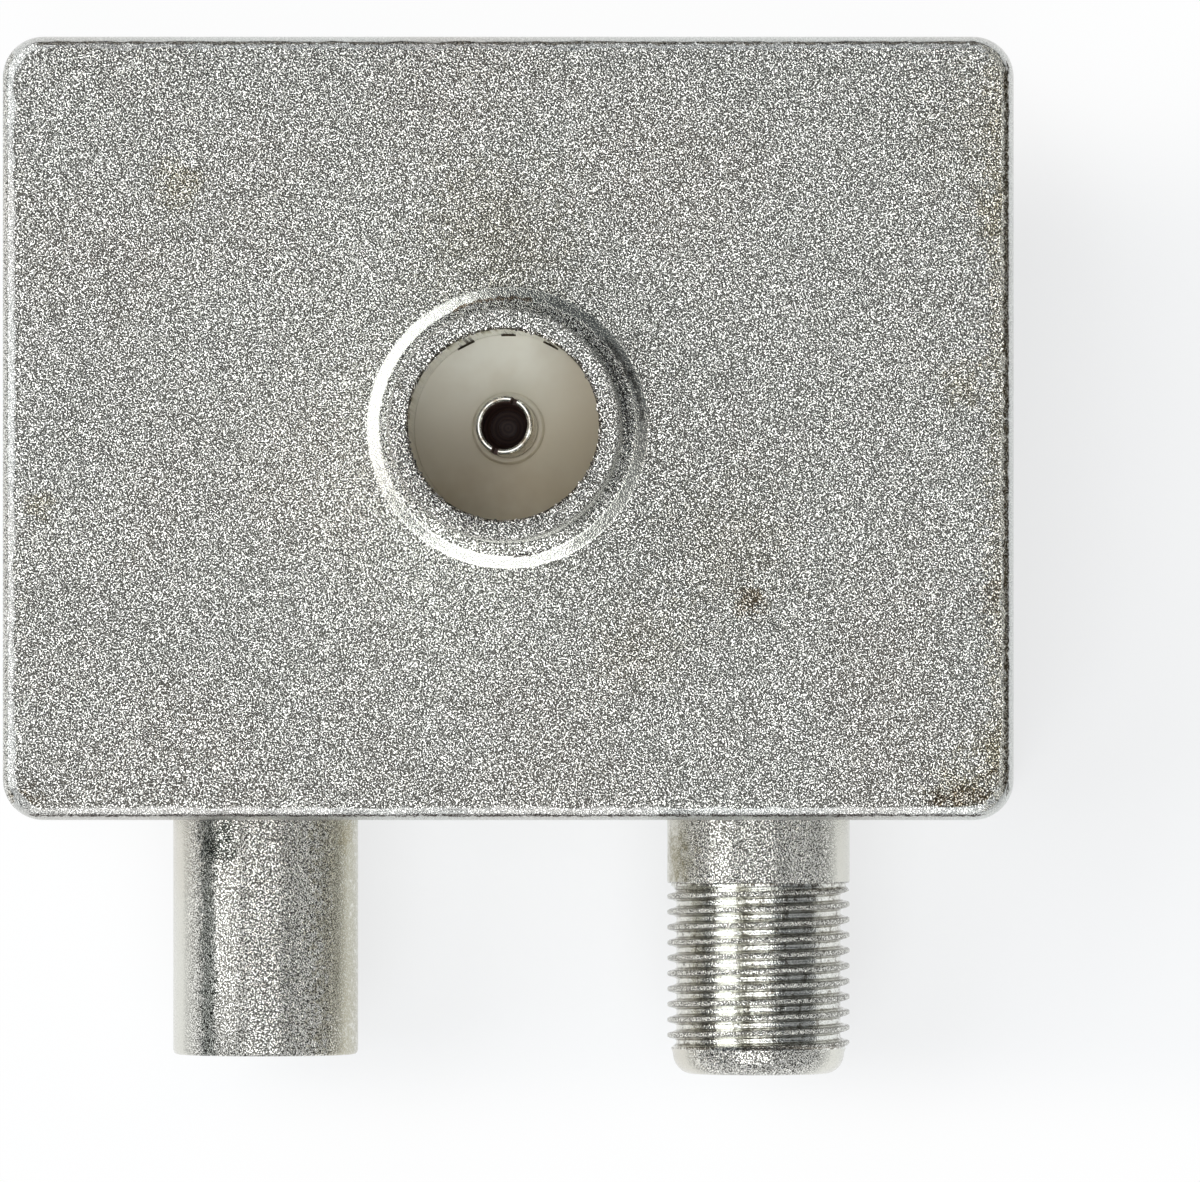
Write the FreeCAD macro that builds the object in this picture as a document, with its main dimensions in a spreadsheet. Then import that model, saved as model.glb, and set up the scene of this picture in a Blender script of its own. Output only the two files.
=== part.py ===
import FreeCAD, Part
import math
import os
import Sketcher
from FreeCAD import Placement, Rotation, Vector

# Coaxial adapter: a die-cast box with a push-fit socket on its face and, on its lower edge,
# a push-fit plug and a threaded port. Millimetres. The box lies on its rear cover at z = 0,
# the socket points up (+Z), and the two ports point along -Y.

doc = FreeCAD.newDocument("coaxial_adapter")
sheet = doc.addObject("Spreadsheet::Sheet", "sizes")

# Driving dimensions: name, value, what it measures
DIMENSIONS = [
    ("box_width", 51.8, "box across, at its open back"),
    ("box_height", 40.2, "box from top to bottom edge, at its open back"),
    ("box_depth", 15.5, "rear face to front face"),
    ("wall_draft", 0.5, "draft of the box sides, degrees"),
    ("corner_round", 2.2, "radius of the box's four upright corners"),
    ("face_round", 0.5, "radius round the front face"),
    ("side_wall", 1.5, "thickness of the sides"),
    ("front_wall", 1.6, "thickness of the front"),
    ("rim_wall", 0.7, "what is left of the side beside the cover"),
    ("cover_thick", 0.8, "rear cover plate"),
    ("cover_gap", 0.04, "cover's clearance in the rim, each side"),
    ("cover_edge", 0.2, "rolled edge of the cover"),
    ("socket_reach", 7.5, "front face to the socket's rim"),
    ("socket_bore", 9.6, "inner diameter of the socket's tube"),
    ("socket_rim", 11.5, "diameter of the rim's flat"),
    ("socket_tube", 11.8, "outer diameter of the socket's tube"),
    ("boss_top", 13.1, "diameter of the boss at its shoulder"),
    ("boss_foot", 14.2, "diameter of the boss on the face"),
    ("boss_rise", 0.3, "height of the boss at its shoulder's edge"),
    ("shoulder_rise", 0.12, "shoulder's edge to where the tube stands on it"),
    ("rim_bevel", 0.25, "height of the rim's bevel"),
    ("socket_depth", 10.6, "rim to the ledge that carries the insulator"),
    ("seat_ring", 12.8, "diameter of the ring inside that carries the ledge"),
    ("seat_reach", 2.5, "how far that ring stands behind the front wall"),
    ("seat_hole", 7.0, "hole in the ledge"),
    ("port_spacing", 25.4, "plug axis to threaded port axis"),
    ("port_height", 7.75, "port axes above the rear face"),
    ("plug_shell", 9.52, "outer diameter of the plug's shell"),
    ("plug_bore", 8.3, "inner diameter of the plug's shell"),
    ("plug_reach", 12.0, "box edge to the plug's tip"),
    ("plug_seat", 0.9, "box edge to the ledge in the plug's bore"),
    ("plug_hole", 6.0, "hole behind the plug's insulator"),
    ("plug_edge", 0.25, "bevel of the plug shell's outer edge"),
    ("port_barrel", 9.4, "threaded port, diameter over the thread's crests"),
    ("port_reach", 13.0, "box edge to the threaded port's tip"),
    ("port_bore", 5.8, "inner diameter of the threaded port"),
    ("tip_start", 1.3, "port's tip to where its rounding starts"),
    ("tip_middle", 0.7, "port's tip to the middle of its rounding"),
    ("tip_waist", 8.3, "diameter at the middle of the rounding"),
    ("tip_face", 6.5, "diameter of the tip's flat"),
    ("port_hole", 3.4, "hole behind the threaded port's insulator"),
    ("port_seat", 0.5, "depth of the port's ledge inside the box edge"),
    ("pin_diameter", 2.38, "centre pin of the plug"),
    ("plug_disc", 2.4, "thickness of the plug's insulator"),
    ("pin_tip", 11.6, "box edge to the pin's tip"),
    ("pin_nose", 0.9, "length of the pin's taper"),
    ("pin_flange", 3.2, "diameter of the pin's flange in the insulator"),
    ("sleeve_recess", 0.6, "port's tip to the front of its insulator"),
    ("sleeve_front", 1.4, "insulator in front of the clip"),
    ("sleeve_pocket", 2.8, "pocket for the clip in the insulator"),
    ("wire_funnel", 2.6, "mouth of the insulator's funnel"),
    ("wire_hole", 1.2, "hole for the cable's wire"),
    ("clip_thick", 0.3, "sheet of the spring clip"),
    ("clip_wide", 2.2, "clip across its leaves"),
    ("clip_leaf", 1.3, "width of a leaf"),
    ("clip_pinch", 0.2, "middle to a leaf, where they pinch the wire"),
    ("clip_flare", 1.0, "length of the leaves in front of the pinch"),
    ("tail_diameter", 1.5, "solder tails of pin and contact"),
    ("tail_end", 6.6, "how far the tails reach inside the box edge"),
    ("contact_outer", 3.0, "socket contact, outer diameter"),
    ("contact_inner", 2.4, "socket contact, inner diameter"),
    ("contact_recess", 1.3, "socket rim to the contact's mouth"),
    ("contact_hole", 7.0, "depth of the contact's hole"),
    ("contact_slot", 0.34, "width of the contact's slots"),
    ("slot_depth", 5.0, "length of the contact's slots"),
    ("slot_angle", 69.0, "direction of the slots from +X, degrees"),
    ("contact_tail", 1.0, "diameter of the socket contact's tail"),
    ("collar_diameter", 3.6, "insulator's collar round the contact"),
    ("collar_rise", 0.5, "height of that collar"),
    ("disc_thick", 1.8, "socket insulator on its ledge"),
    ("notch_wide", 0.95, "width of the insulator's three upper notches"),
    ("notch_small", 0.35, "width of its two small notches"),
    ("notch_deep", 0.25, "how far the notches reach in from the edge"),
    ("board_width", 48.4, "circuit board across"),
    ("board_length", 33.0, "circuit board from top to bottom"),
    ("board_shift", 0.7, "board's centre above the socket's axis"),
    ("board_thick", 1.2, "circuit board"),
    ("lug_size", 4.0, "side of the four cast lugs that carry the board"),
    ("lug_y", 13.2, "lugs above and below the socket's axis"),
    ("fillet_leg", 1.2, "solder fillets between board and side wall"),
    ("core_width", 7.0, "two-hole ferrite core across its holes"),
    ("core_thick", 4.2, "ferrite core above the board"),
    ("core_length", 6.2, "ferrite core along its holes"),
    ("core_hole", 2.0, "holes in the ferrite core"),
    ("core_pitch", 3.0, "between the core's holes"),
    ("core_x", 11.0, "cores either side of the middle"),
    ("core_y", 5.0, "cores above the socket's axis"),
    ("winding_wide", 0.6, "winding across"),
    ("winding_deep", 1.1, "winding through the thickness of the core"),
    ("winding_room", 0.25, "between the core's ends and the winding"),
    ("leg_wide", 0.5, "width of the winding's two legs"),
    ("leg_pitch", 1.3, "between the two legs"),
    ("chip_length", 3.2, "chip parts"),
    ("chip_width", 1.6, "chip parts"),
    ("chip_cap", 0.5, "metal ends of the chip parts"),
    ("chip_step", 0.03, "how far the metal ends stand proud of the chip's body"),
    ("capacitor_high", 1.25, "thickness of the capacitors"),
    ("resistor_high", 0.6, "thickness of the resistor"),
    ("capacitor_y", 9.5, "port capacitors below the socket's axis"),
    ("joint_wide", 3.4, "solder joint on a tail, at the board"),
    ("joint_crest", 1.8, "solder joint on a tail, at its top"),
    ("joint_long", 1.7, "length of the solder joint on a tail"),
    ("joint_set", 0.2, "tail's end to the solder joint"),
    ("solder_over", 0.25, "solder over a tail"),
    ("cone_foot", 2.6, "solder cone at the board, round the socket contact's tail"),
    ("cone_rise", 0.9, "height of the solder cone"),
]

for row, (name, number, note) in enumerate(DIMENSIONS, start=1):
    sheet.set(f"A{row}", name)
    sheet.set(f"B{row}", str(number))
    sheet.setAlias(f"B{row}", name)
    sheet.set(f"C{row}", note)
doc.recompute()

# Heights and places that several pieces share, worked out from the sheet
FACE = "sizes.box_depth"
RIM = "(sizes.box_depth + sizes.socket_reach)"
INNER_FACE = "(sizes.box_depth - sizes.front_wall)"
LEDGE = f"({RIM} - sizes.socket_depth)"
DISC_TOP = f"({LEDGE} + sizes.disc_thick)"
CONTACT_FOOT = f"({LEDGE} + sizes.disc_thick / 3)"
EDGE = "(sizes.box_height / 2)"
BOARD_TOP = "(sizes.port_height - sizes.tail_diameter / 2)"
BOARD_UNDER = f"({BOARD_TOP} - sizes.board_thick)"
PLUG_X = "(-sizes.port_spacing / 2)"
PORT_X = "(sizes.port_spacing / 2)"
CORE_MIDDLE = f"({BOARD_TOP} + sizes.core_thick / 2)"


def value(expression):
    """The number that an expression over the sheet comes to."""
    return float(sheet.evalExpression(expression))


def new_body(name, x="0", y="0", z="0", tilt=0):
    """An empty body. Tilted by 90 degrees, its own z axis points along -Y and its y axis along +Z."""
    body = doc.addObject("PartDesign::Body", name)
    body.Label = name
    body.Placement = Placement(Vector(), Rotation(Vector(1, 0, 0), tilt))
    body.setExpression("Placement.Base.x", x)
    body.setExpression("Placement.Base.y", y)
    body.setExpression("Placement.Base.z", z)
    return body


def new_sketch(body, name, plane, x="0", y="0", height="0"):
    """An empty sketch on one of the body's planes, shifted in that plane and lifted off it."""
    sketch = body.newObject("Sketcher::SketchObject", f"{body.Name}_{name}")
    support = [feature for feature in body.Origin.OriginFeatures if feature.Role == plane][0]
    sketch.AttachmentSupport = [(support, "")]
    sketch.MapMode = "FlatFace"
    sketch.setExpression("AttachmentOffset.Base.x", x)
    sketch.setExpression("AttachmentOffset.Base.y", y)
    sketch.setExpression("AttachmentOffset.Base.z", height)
    return sketch


def constrain(sketch, expression, kind, *where):
    """Hold a size of the sketch to an expression over the sheet."""
    index = sketch.addConstraint(Sketcher.Constraint(kind, *where, value(expression)))
    sketch.setExpression(f"Constraints[{index}]", expression)


def draw_circle(sketch, diameter, x="0", y="0"):
    """A circle with its centre and radius held to the sheet."""
    centre = Vector(value(x), value(y), 0)
    radius = value(f"{diameter} / 2")
    circle = sketch.addGeometry(Part.Circle(centre, Vector(0, 0, 1), radius), False)
    constrain(sketch, x, "DistanceX", -1, 1, circle, 3)
    constrain(sketch, y, "DistanceY", -1, 1, circle, 3)
    constrain(sketch, f"{diameter} / 2", "Radius", circle)


def draw_outline(sketch, corners):
    """A closed outline of straight edges, each corner held to the sheet."""
    points = [Vector(value(x), value(y), 0) for x, y in corners]
    first = len(sketch.Geometry)
    for here, there in zip(points, points[1:] + points[:1]):
        sketch.addGeometry(Part.LineSegment(here, there), False)
    for index, (x, y) in enumerate(corners):
        edge = first + index
        before = first + (index - 1) % len(corners)
        sketch.addConstraint(Sketcher.Constraint("Coincident", before, 2, edge, 1))
        constrain(sketch, x, "DistanceX", -1, 1, edge, 1)
        constrain(sketch, y, "DistanceY", -1, 1, edge, 1)


def draw_rectangle(sketch, width, length):
    """A rectangle about the sketch's origin."""
    across = f"({width}) / 2"
    along = f"({length}) / 2"
    draw_outline(sketch, [(f"-{across}", f"-{along}"), (across, f"-{along}"),
                          (across, along), (f"-{across}", along)])


def draw_rounded_rectangle(sketch, width, length, radius):
    """A rectangle about the sketch's origin with round corners, tangent all the way."""
    half_width = value(width) / 2
    half_length = value(length) / 2
    bend = value(radius)
    near_x = half_width - bend
    near_y = half_length - bend
    runs = [((-near_x, -half_length), (near_x, -half_length)),
            ((half_width, -near_y), (half_width, near_y)),
            ((near_x, half_length), (-near_x, half_length)),
            ((-half_width, near_y), (-half_width, -near_y))]
    first = len(sketch.Geometry)
    for (x0, y0), (x1, y1) in runs:
        sketch.addGeometry(Part.LineSegment(Vector(x0, y0, 0), Vector(x1, y1, 0)), False)
    centres = [(near_x, -near_y), (near_x, near_y), (-near_x, near_y), (-near_x, -near_y)]
    for index, (x, y) in enumerate(centres):
        circle = Part.Circle(Vector(x, y, 0), Vector(0, 0, 1), bend)
        start = (index - 1) * math.pi / 2
        sketch.addGeometry(Part.ArcOfCircle(circle, start, start + math.pi / 2), False)
    for index in range(4):
        arc = first + 4 + index
        following = first + (index + 1) % 4
        sketch.addConstraint(Sketcher.Constraint("Tangent", first + index, 2, arc, 1))
        sketch.addConstraint(Sketcher.Constraint("Tangent", arc, 2, following, 1))
        level = "Horizontal" if index % 2 == 0 else "Vertical"
        sketch.addConstraint(Sketcher.Constraint(level, first + index))
    for arc in range(first + 5, first + 8):
        sketch.addConstraint(Sketcher.Constraint("Equal", first + 4, arc))
    constrain(sketch, radius, "Radius", first + 4)
    constrain(sketch, width, "DistanceX", first + 3, 1, first + 1, 1)
    constrain(sketch, length, "DistanceY", first, 1, first + 2, 1)
    sketch.addConstraint(Sketcher.Constraint("Symmetric", first + 7, 3, first + 5, 3, -1, 1))


def pad(body, sketch, length, reverse=False, taper="0"):
    """Raise a sketch into a solid."""
    feature = body.newObject("PartDesign::Pad", f"{sketch.Name}_pad")
    feature.Profile = sketch
    feature.setExpression("Length", length)
    feature.Reversed = reverse
    feature.setExpression("TaperAngle", taper)
    return feature


def cut(body, sketch, length, reverse=False):
    """Sink a sketch into the solid. It has to take material away."""
    before = body.Tip
    feature = body.newObject("PartDesign::Pocket", f"{sketch.Name}_cut")
    feature.Profile = sketch
    feature.setExpression("Length", length)
    feature.Reversed = reverse
    doc.recompute()
    if feature.Shape.Volume > before.Shape.Volume - 0.001:
        raise RuntimeError(f"{feature.Name} takes nothing away")
    return feature


def revolve(body, name, corners, plane="XZ_Plane", kind="PartDesign::Revolution", x="0", height="0"):
    """Turn an outline of (radius, distance along the axis) corners about its sketch's vertical axis."""
    sketch = new_sketch(body, name, plane, x=x, height=height)
    draw_outline(sketch, corners)
    feature = body.newObject(kind, f"{sketch.Name}_turned")
    feature.Profile = sketch
    feature.ReferenceAxis = (sketch, ["V_Axis"])
    feature.Angle = 360
    return feature


def dress_edges(body, name, kind, size, wanted):
    """Fillet or chamfer the edges of the body's last feature that the test picks."""
    doc.recompute()
    base = body.Tip
    names = [f"Edge{i}" for i, edge in enumerate(base.Shape.Edges, start=1) if wanted(edge)]
    if not names:
        raise RuntimeError(f"{name} finds no edge")
    feature = body.newObject(kind, f"{body.Name}_{name}")
    feature.Base = (base, names)
    feature.setExpression("Radius" if kind == "PartDesign::Fillet" else "Size", size)
    return feature


def ring_at(edge, x, y, diameter):
    """Is this edge a circle of that diameter, in a plane across Y, about the axis through x at y?"""
    curve = edge.Curve
    if not isinstance(curve, Part.Circle) or abs(2 * curve.Radius - diameter) > 0.01:
        return False
    return abs(curve.Center.x - x) < 0.01 and abs(curve.Center.y - y) < 0.01


def cast_box(body):
    """The open-backed box: drafted sides, round corners and front edge, and a rebate for the cover."""
    outside = new_sketch(body, "outside", "XY_Plane")
    draw_rounded_rectangle(outside, "sizes.box_width", "sizes.box_height", "sizes.corner_round")
    pad(body, outside, FACE, taper="-sizes.wall_draft")
    depth = value(FACE)
    dress_edges(body, "face_round", "PartDesign::Fillet", "sizes.face_round",
                lambda edge: abs(edge.BoundBox.ZMin - depth) < 0.01)
    inside = new_sketch(body, "inside", "XY_Plane")
    draw_rounded_rectangle(inside, "sizes.box_width - 2 * sizes.side_wall",
                           "sizes.box_height - 2 * sizes.side_wall",
                           "sizes.corner_round - sizes.side_wall / 2")
    cut(body, inside, INNER_FACE, reverse=True)
    rebate = new_sketch(body, "rebate", "XY_Plane")
    draw_rounded_rectangle(rebate, "sizes.box_width - 2 * sizes.rim_wall",
                           "sizes.box_height - 2 * sizes.rim_wall",
                           "sizes.corner_round - sizes.rim_wall / 2")
    cut(body, rebate, "sizes.cover_thick", reverse=True)


def cast_socket(body):
    """The front socket's shell: a low boss with a sloped shoulder, the tube on it, a ledge inside."""
    root = f"({FACE} - sizes.front_wall / 2)"
    shoulder = f"({FACE} + sizes.boss_rise)"
    revolve(body, "socket_shell", [
        ("0", root),
        ("sizes.boss_foot / 2", root),
        ("sizes.boss_foot / 2", FACE),
        ("sizes.boss_top / 2", shoulder),
        ("sizes.socket_tube / 2", f"{shoulder} + sizes.shoulder_rise"),
        ("sizes.socket_tube / 2", f"{RIM} - sizes.rim_bevel"),
        ("sizes.socket_rim / 2", RIM),
        ("0", RIM),
    ])
    seat = new_sketch(body, "socket_seat", "XY_Plane", height=INNER_FACE)
    draw_circle(seat, "sizes.seat_ring")
    pad(body, seat, "sizes.seat_reach", reverse=True)
    bore = new_sketch(body, "socket_bore", "XY_Plane", height=RIM)
    draw_circle(bore, "sizes.socket_bore")
    cut(body, bore, "sizes.socket_depth")
    hole = new_sketch(body, "seat_hole", "XY_Plane", height=RIM)
    draw_circle(hole, "sizes.seat_hole")
    cut(body, hole, "sizes.socket_reach + sizes.front_wall + sizes.seat_reach")


def cast_lugs(body):
    """Four square lugs in front of the board, grown from the front wall and the side walls."""
    lugs = new_sketch(body, "lugs", "XY_Plane", height=INNER_FACE)
    wall = "(sizes.box_width / 2 - sizes.side_wall / 2)"
    shelf = "(sizes.box_width / 2 - sizes.side_wall - sizes.lug_size)"
    for side_x in (-1, 1):
        for side_y in (-1, 1):
            near = f"({side_y} * sizes.lug_y - sizes.lug_size / 2)"
            far = f"({side_y} * sizes.lug_y + sizes.lug_size / 2)"
            left = f"-{wall}" if side_x < 0 else shelf
            right = f"-{shelf}" if side_x < 0 else wall
            draw_outline(lugs, [(left, near), (right, near), (right, far), (left, far)])
    pad(body, lugs, f"{INNER_FACE} - {BOARD_TOP}", reverse=True)


def cast_plug_shell(body):
    """The smooth push-fit shell on the left, bored to a ledge for its insulator."""
    wall = f"{EDGE} - sizes.side_wall"
    shell = new_sketch(body, "plug_shell", "XZ_Plane", height=wall)
    draw_circle(shell, "sizes.plug_shell", PLUG_X, "sizes.port_height")
    pad(body, shell, "sizes.side_wall + sizes.plug_reach")
    tip = value(f"-{EDGE} - sizes.plug_reach")
    dress_edges(body, "plug_edge", "PartDesign::Chamfer", "sizes.plug_edge",
                lambda edge: ring_at(edge, value(PLUG_X), tip, value("sizes.plug_shell")))
    bore = new_sketch(body, "plug_bore", "XZ_Plane", height=f"{EDGE} + sizes.plug_reach")
    draw_circle(bore, "sizes.plug_bore", PLUG_X, "sizes.port_height")
    cut(body, bore, "sizes.plug_reach - sizes.plug_seat")
    hole = new_sketch(body, "plug_hole", "XZ_Plane", height=f"{EDGE} + sizes.plug_reach")
    draw_circle(hole, "sizes.plug_hole", PLUG_X, "sizes.port_height")
    cut(body, hole, "sizes.plug_reach + 2 * sizes.side_wall")


def cast_threaded_port(body):
    """The threaded port on the right: barrel at the thread's crests, rounded tip and stepped bore."""
    wall = f"{EDGE} - sizes.side_wall"
    barrel = new_sketch(body, "port_barrel", "XZ_Plane", height=wall)
    draw_circle(barrel, "sizes.port_barrel", PORT_X, "sizes.port_height")
    pad(body, barrel, "sizes.side_wall + sizes.port_reach")
    doc.recompute()
    barrel_volume = body.Tip.Shape.Volume
    tip = f"(-{EDGE} - sizes.port_reach)"
    rounding = revolve(body, "port_tip", [
        ("sizes.port_barrel / 2", f"{tip} + sizes.tip_start"),
        ("sizes.tip_waist / 2", f"{tip} + sizes.tip_middle"),
        ("sizes.tip_face / 2", tip),
        ("sizes.port_barrel / 2", tip),
    ], "XY_Plane", "PartDesign::Groove", PORT_X, "sizes.port_height")
    doc.recompute()
    if rounding.Shape.Volume > barrel_volume - 1:
        raise RuntimeError("the port's tip is not rounded")
    bore = new_sketch(body, "port_bore", "XZ_Plane", height=f"{EDGE} + sizes.port_reach")
    draw_circle(bore, "sizes.port_bore", PORT_X, "sizes.port_height")
    cut(body, bore, "sizes.port_reach + sizes.port_seat")
    hole = new_sketch(body, "port_hole", "XZ_Plane", height=f"{EDGE} + sizes.port_reach")
    draw_circle(hole, "sizes.port_hole", PORT_X, "sizes.port_height")
    cut(body, hole, "sizes.port_reach + 2 * sizes.side_wall")


def make_housing():
    """One zinc casting: the box and the shells of all three connectors."""
    body = new_body("housing")
    cast_box(body)
    cast_socket(body)
    cast_lugs(body)
    cast_plug_shell(body)
    cast_threaded_port(body)
    return body


def make_rear_cover():
    """A pressed plate that drops into the rim, flush with it, its outer edge rolled."""
    body = new_body("rear_cover")
    plate = new_sketch(body, "plate", "XY_Plane")
    slack = "2 * (sizes.rim_wall + sizes.cover_gap)"
    draw_rounded_rectangle(plate, f"sizes.box_width - {slack}", f"sizes.box_height - {slack}",
                           "sizes.corner_round - sizes.rim_wall / 2 - sizes.cover_gap")
    pad(body, plate, "sizes.cover_thick")
    dress_edges(body, "rolled_edge", "PartDesign::Chamfer", "sizes.cover_edge",
                lambda edge: abs(edge.BoundBox.ZMax) < 0.001)
    return body


def make_socket_insulator():
    """Plastic disc on the socket's ledge, with a collar round the contact and five notches at its edge."""
    body = new_body("socket_insulator")
    revolve(body, "disc", [
        ("sizes.contact_tail / 2", LEDGE),
        ("sizes.socket_bore / 2", LEDGE),
        ("sizes.socket_bore / 2", DISC_TOP),
        ("sizes.collar_diameter / 2", DISC_TOP),
        ("sizes.collar_diameter / 2", f"{DISC_TOP} + sizes.collar_rise"),
        ("sizes.contact_outer / 2", f"{DISC_TOP} + sizes.collar_rise"),
        ("sizes.contact_outer / 2", CONTACT_FOOT),
        ("sizes.contact_tail / 2", CONTACT_FOOT),
    ])
    doc.recompute()
    notches = new_sketch(body, "notches", "XY_Plane", height=DISC_TOP)
    floor = "(sizes.socket_bore / 2 - sizes.notch_deep)"
    edge = "(sizes.socket_bore / 2 + sizes.notch_deep)"
    wide = ((117, "sizes.notch_wide"), (90, "sizes.notch_wide"), (63, "sizes.notch_wide"))
    small = ((5, "sizes.notch_small"), (270, "sizes.notch_small"))
    for degrees, width in wide + small:
        corners = []
        for reach, side in ((floor, "-"), (edge, "-"), (edge, "+"), (floor, "+")):
            turn = "-" if side == "+" else "+"
            corners.append((f"{reach} * cos({degrees} deg) {turn} {width} / 2 * sin({degrees} deg)",
                            f"{reach} * sin({degrees} deg) {side} {width} / 2 * cos({degrees} deg)"))
        draw_outline(notches, corners)
    cut(body, notches, "sizes.disc_thick / 3")
    return body


def make_socket_contact():
    """Turned tube that grips a 2.4 mm pin: two slots split its mouth, a thin tail goes through the board."""
    body = new_body("socket_contact")
    mouth = f"({RIM} - sizes.contact_recess)"
    tail_end = f"({BOARD_UNDER} - sizes.board_thick)"
    revolve(body, "tube", [
        ("0", tail_end),
        ("sizes.contact_tail / 2", tail_end),
        ("sizes.contact_tail / 2", CONTACT_FOOT),
        ("sizes.contact_outer / 2", CONTACT_FOOT),
        ("sizes.contact_outer / 2", mouth),
        ("sizes.contact_inner / 2", mouth),
        ("sizes.contact_inner / 2", f"{mouth} - sizes.contact_hole"),
        ("0", f"{mouth} - sizes.contact_hole"),
    ])
    doc.recompute()
    slots = new_sketch(body, "slots", "XY_Plane", height=mouth)
    slots.setExpression("AttachmentOffset.Rotation.Angle", "sizes.slot_angle")
    draw_rectangle(slots, "sizes.contact_outer * 1.5", "sizes.contact_slot")
    cut(body, slots, "sizes.slot_depth")
    return body


def make_plug_insulator():
    """Plastic disc in the plug's bore, pressed against its ledge."""
    body = new_body("plug_insulator", PLUG_X, f"-{EDGE}", "sizes.port_height", tilt=90)
    middle = "(sizes.plug_seat + sizes.plug_disc / 3)"
    front = "(sizes.plug_seat + sizes.plug_disc)"
    revolve(body, "disc", [
        ("sizes.tail_diameter / 2", "sizes.plug_seat"),
        ("sizes.plug_bore / 2", "sizes.plug_seat"),
        ("sizes.plug_bore / 2", front),
        ("sizes.pin_flange / 2", front),
        ("sizes.pin_flange / 2", middle),
        ("sizes.tail_diameter / 2", middle),
    ])
    return body


def make_plug_pin():
    """The plug's centre pin: tapered nose, a flange in the insulator and a tail that lies on the board."""
    body = new_body("plug_pin", PLUG_X, f"-{EDGE}", "sizes.port_height", tilt=90)
    middle = "(sizes.plug_seat + sizes.plug_disc / 3)"
    front = "(sizes.plug_seat + sizes.plug_disc)"
    revolve(body, "pin", [
        ("0", "-sizes.tail_end"),
        ("sizes.tail_diameter / 2", "-sizes.tail_end"),
        ("sizes.tail_diameter / 2", middle),
        ("sizes.pin_flange / 2", middle),
        ("sizes.pin_flange / 2", front),
        ("sizes.pin_diameter / 2", front),
        ("sizes.pin_diameter / 2", "sizes.pin_tip - sizes.pin_nose"),
        ("sizes.pin_diameter / 4", "sizes.pin_tip"),
        ("0", "sizes.pin_tip"),
    ])
    return body


def make_f_insulator():
    """Plastic sleeve that fills the threaded port's bore, with a funnel that leads the wire in."""
    body = new_body("f_insulator", PORT_X, f"-{EDGE}", "sizes.port_height", tilt=90)
    front = "(sizes.port_reach - sizes.sleeve_recess)"
    entry = f"({front} - sizes.sleeve_front / 2)"
    pocket = f"({front} - sizes.sleeve_front)"
    revolve(body, "sleeve", [
        ("sizes.sleeve_pocket / 2", "-sizes.port_seat"),
        ("sizes.port_bore / 2", "-sizes.port_seat"),
        ("sizes.port_bore / 2", front),
        ("sizes.wire_funnel / 2", front),
        ("sizes.wire_hole / 2", entry),
        ("sizes.wire_hole / 2", pocket),
        ("sizes.sleeve_pocket / 2", pocket),
    ])
    return body


def make_f_contact():
    """Folded spring clip in the sleeve: two leaves that pinch the wire, and a flat tail on the board."""
    body = new_body("f_contact", PORT_X, f"-{EDGE}", "sizes.port_height", tilt=90)
    sheet_metal = "sizes.clip_thick"
    back = "sizes.port_seat"
    front = "(sizes.port_reach - sizes.sleeve_recess - sizes.sleeve_front)"
    waist = f"({front} - sizes.clip_flare)"
    side = "(sizes.clip_wide / 2)"
    leaves = new_sketch(body, "leaves", "XZ_Plane", height="-sizes.clip_leaf / 2")
    draw_outline(leaves, [
        (f"-{side}", back),
        (side, back),
        (f"sizes.clip_pinch + {sheet_metal}", waist),
        (side, front),
        (f"{side} - {sheet_metal}", front),
        ("sizes.clip_pinch", waist),
        (f"{side} - {sheet_metal}", f"{back} + {sheet_metal}"),
        (f"-{side} + {sheet_metal}", f"{back} + {sheet_metal}"),
        ("-sizes.clip_pinch", waist),
        (f"-{side} + {sheet_metal}", front),
        (f"-{side}", front),
        (f"-sizes.clip_pinch - {sheet_metal}", waist),
    ])
    pad(body, leaves, "sizes.clip_leaf")
    half_tail = "(sizes.tail_diameter / 2)"
    bridge = new_sketch(body, "bridge", "XY_Plane", height=back)
    draw_outline(bridge, [(f"-{half_tail}", f"-{half_tail}"), (half_tail, f"-{half_tail}"),
                          (half_tail, "0"), (f"-{half_tail}", "0")])
    pad(body, bridge, sheet_metal)
    tail = new_sketch(body, "tail", "XY_Plane", height="-sizes.tail_end")
    upper = f"-{half_tail} + {sheet_metal}"
    draw_outline(tail, [(f"-{half_tail}", f"-{half_tail}"), (half_tail, f"-{half_tail}"),
                        (half_tail, upper), (f"-{half_tail}", upper)])
    pad(body, tail, f"sizes.tail_end + {back} + {sheet_metal}")
    return body


def make_circuit_board():
    """Board behind the cast lugs, drilled for the socket contact's tail."""
    body = new_body("circuit_board")
    sheet_outline = new_sketch(body, "outline", "XY_Plane", y="sizes.board_shift", height=BOARD_UNDER)
    draw_rectangle(sheet_outline, "sizes.board_width", "sizes.board_length")
    pad(body, sheet_outline, "sizes.board_thick")
    doc.recompute()
    hole = new_sketch(body, "hole", "XY_Plane", height=BOARD_TOP)
    draw_circle(hole, "(sizes.contact_tail + 0.2)")
    cut(body, hole, "sizes.board_thick")
    return body


def make_core(name, x):
    """Two-hole ferrite core that lies on the board, round at both ends, its holes along Y."""
    body = new_body(name, x, "sizes.core_y", CORE_MIDDLE)
    end = new_sketch(body, "end", "XZ_Plane", height="-sizes.core_length / 2")
    draw_rounded_rectangle(end, "sizes.core_width", "sizes.core_thick", "sizes.core_thick * 0.45")
    pad(body, end, "sizes.core_length")
    doc.recompute()
    holes = new_sketch(body, "holes", "XZ_Plane", height="sizes.core_length / 2")
    for side in ("-", ""):
        draw_circle(holes, "sizes.core_hole", f"{side}sizes.core_pitch / 2")
    cut(body, holes, "sizes.core_length")
    return body


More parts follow.
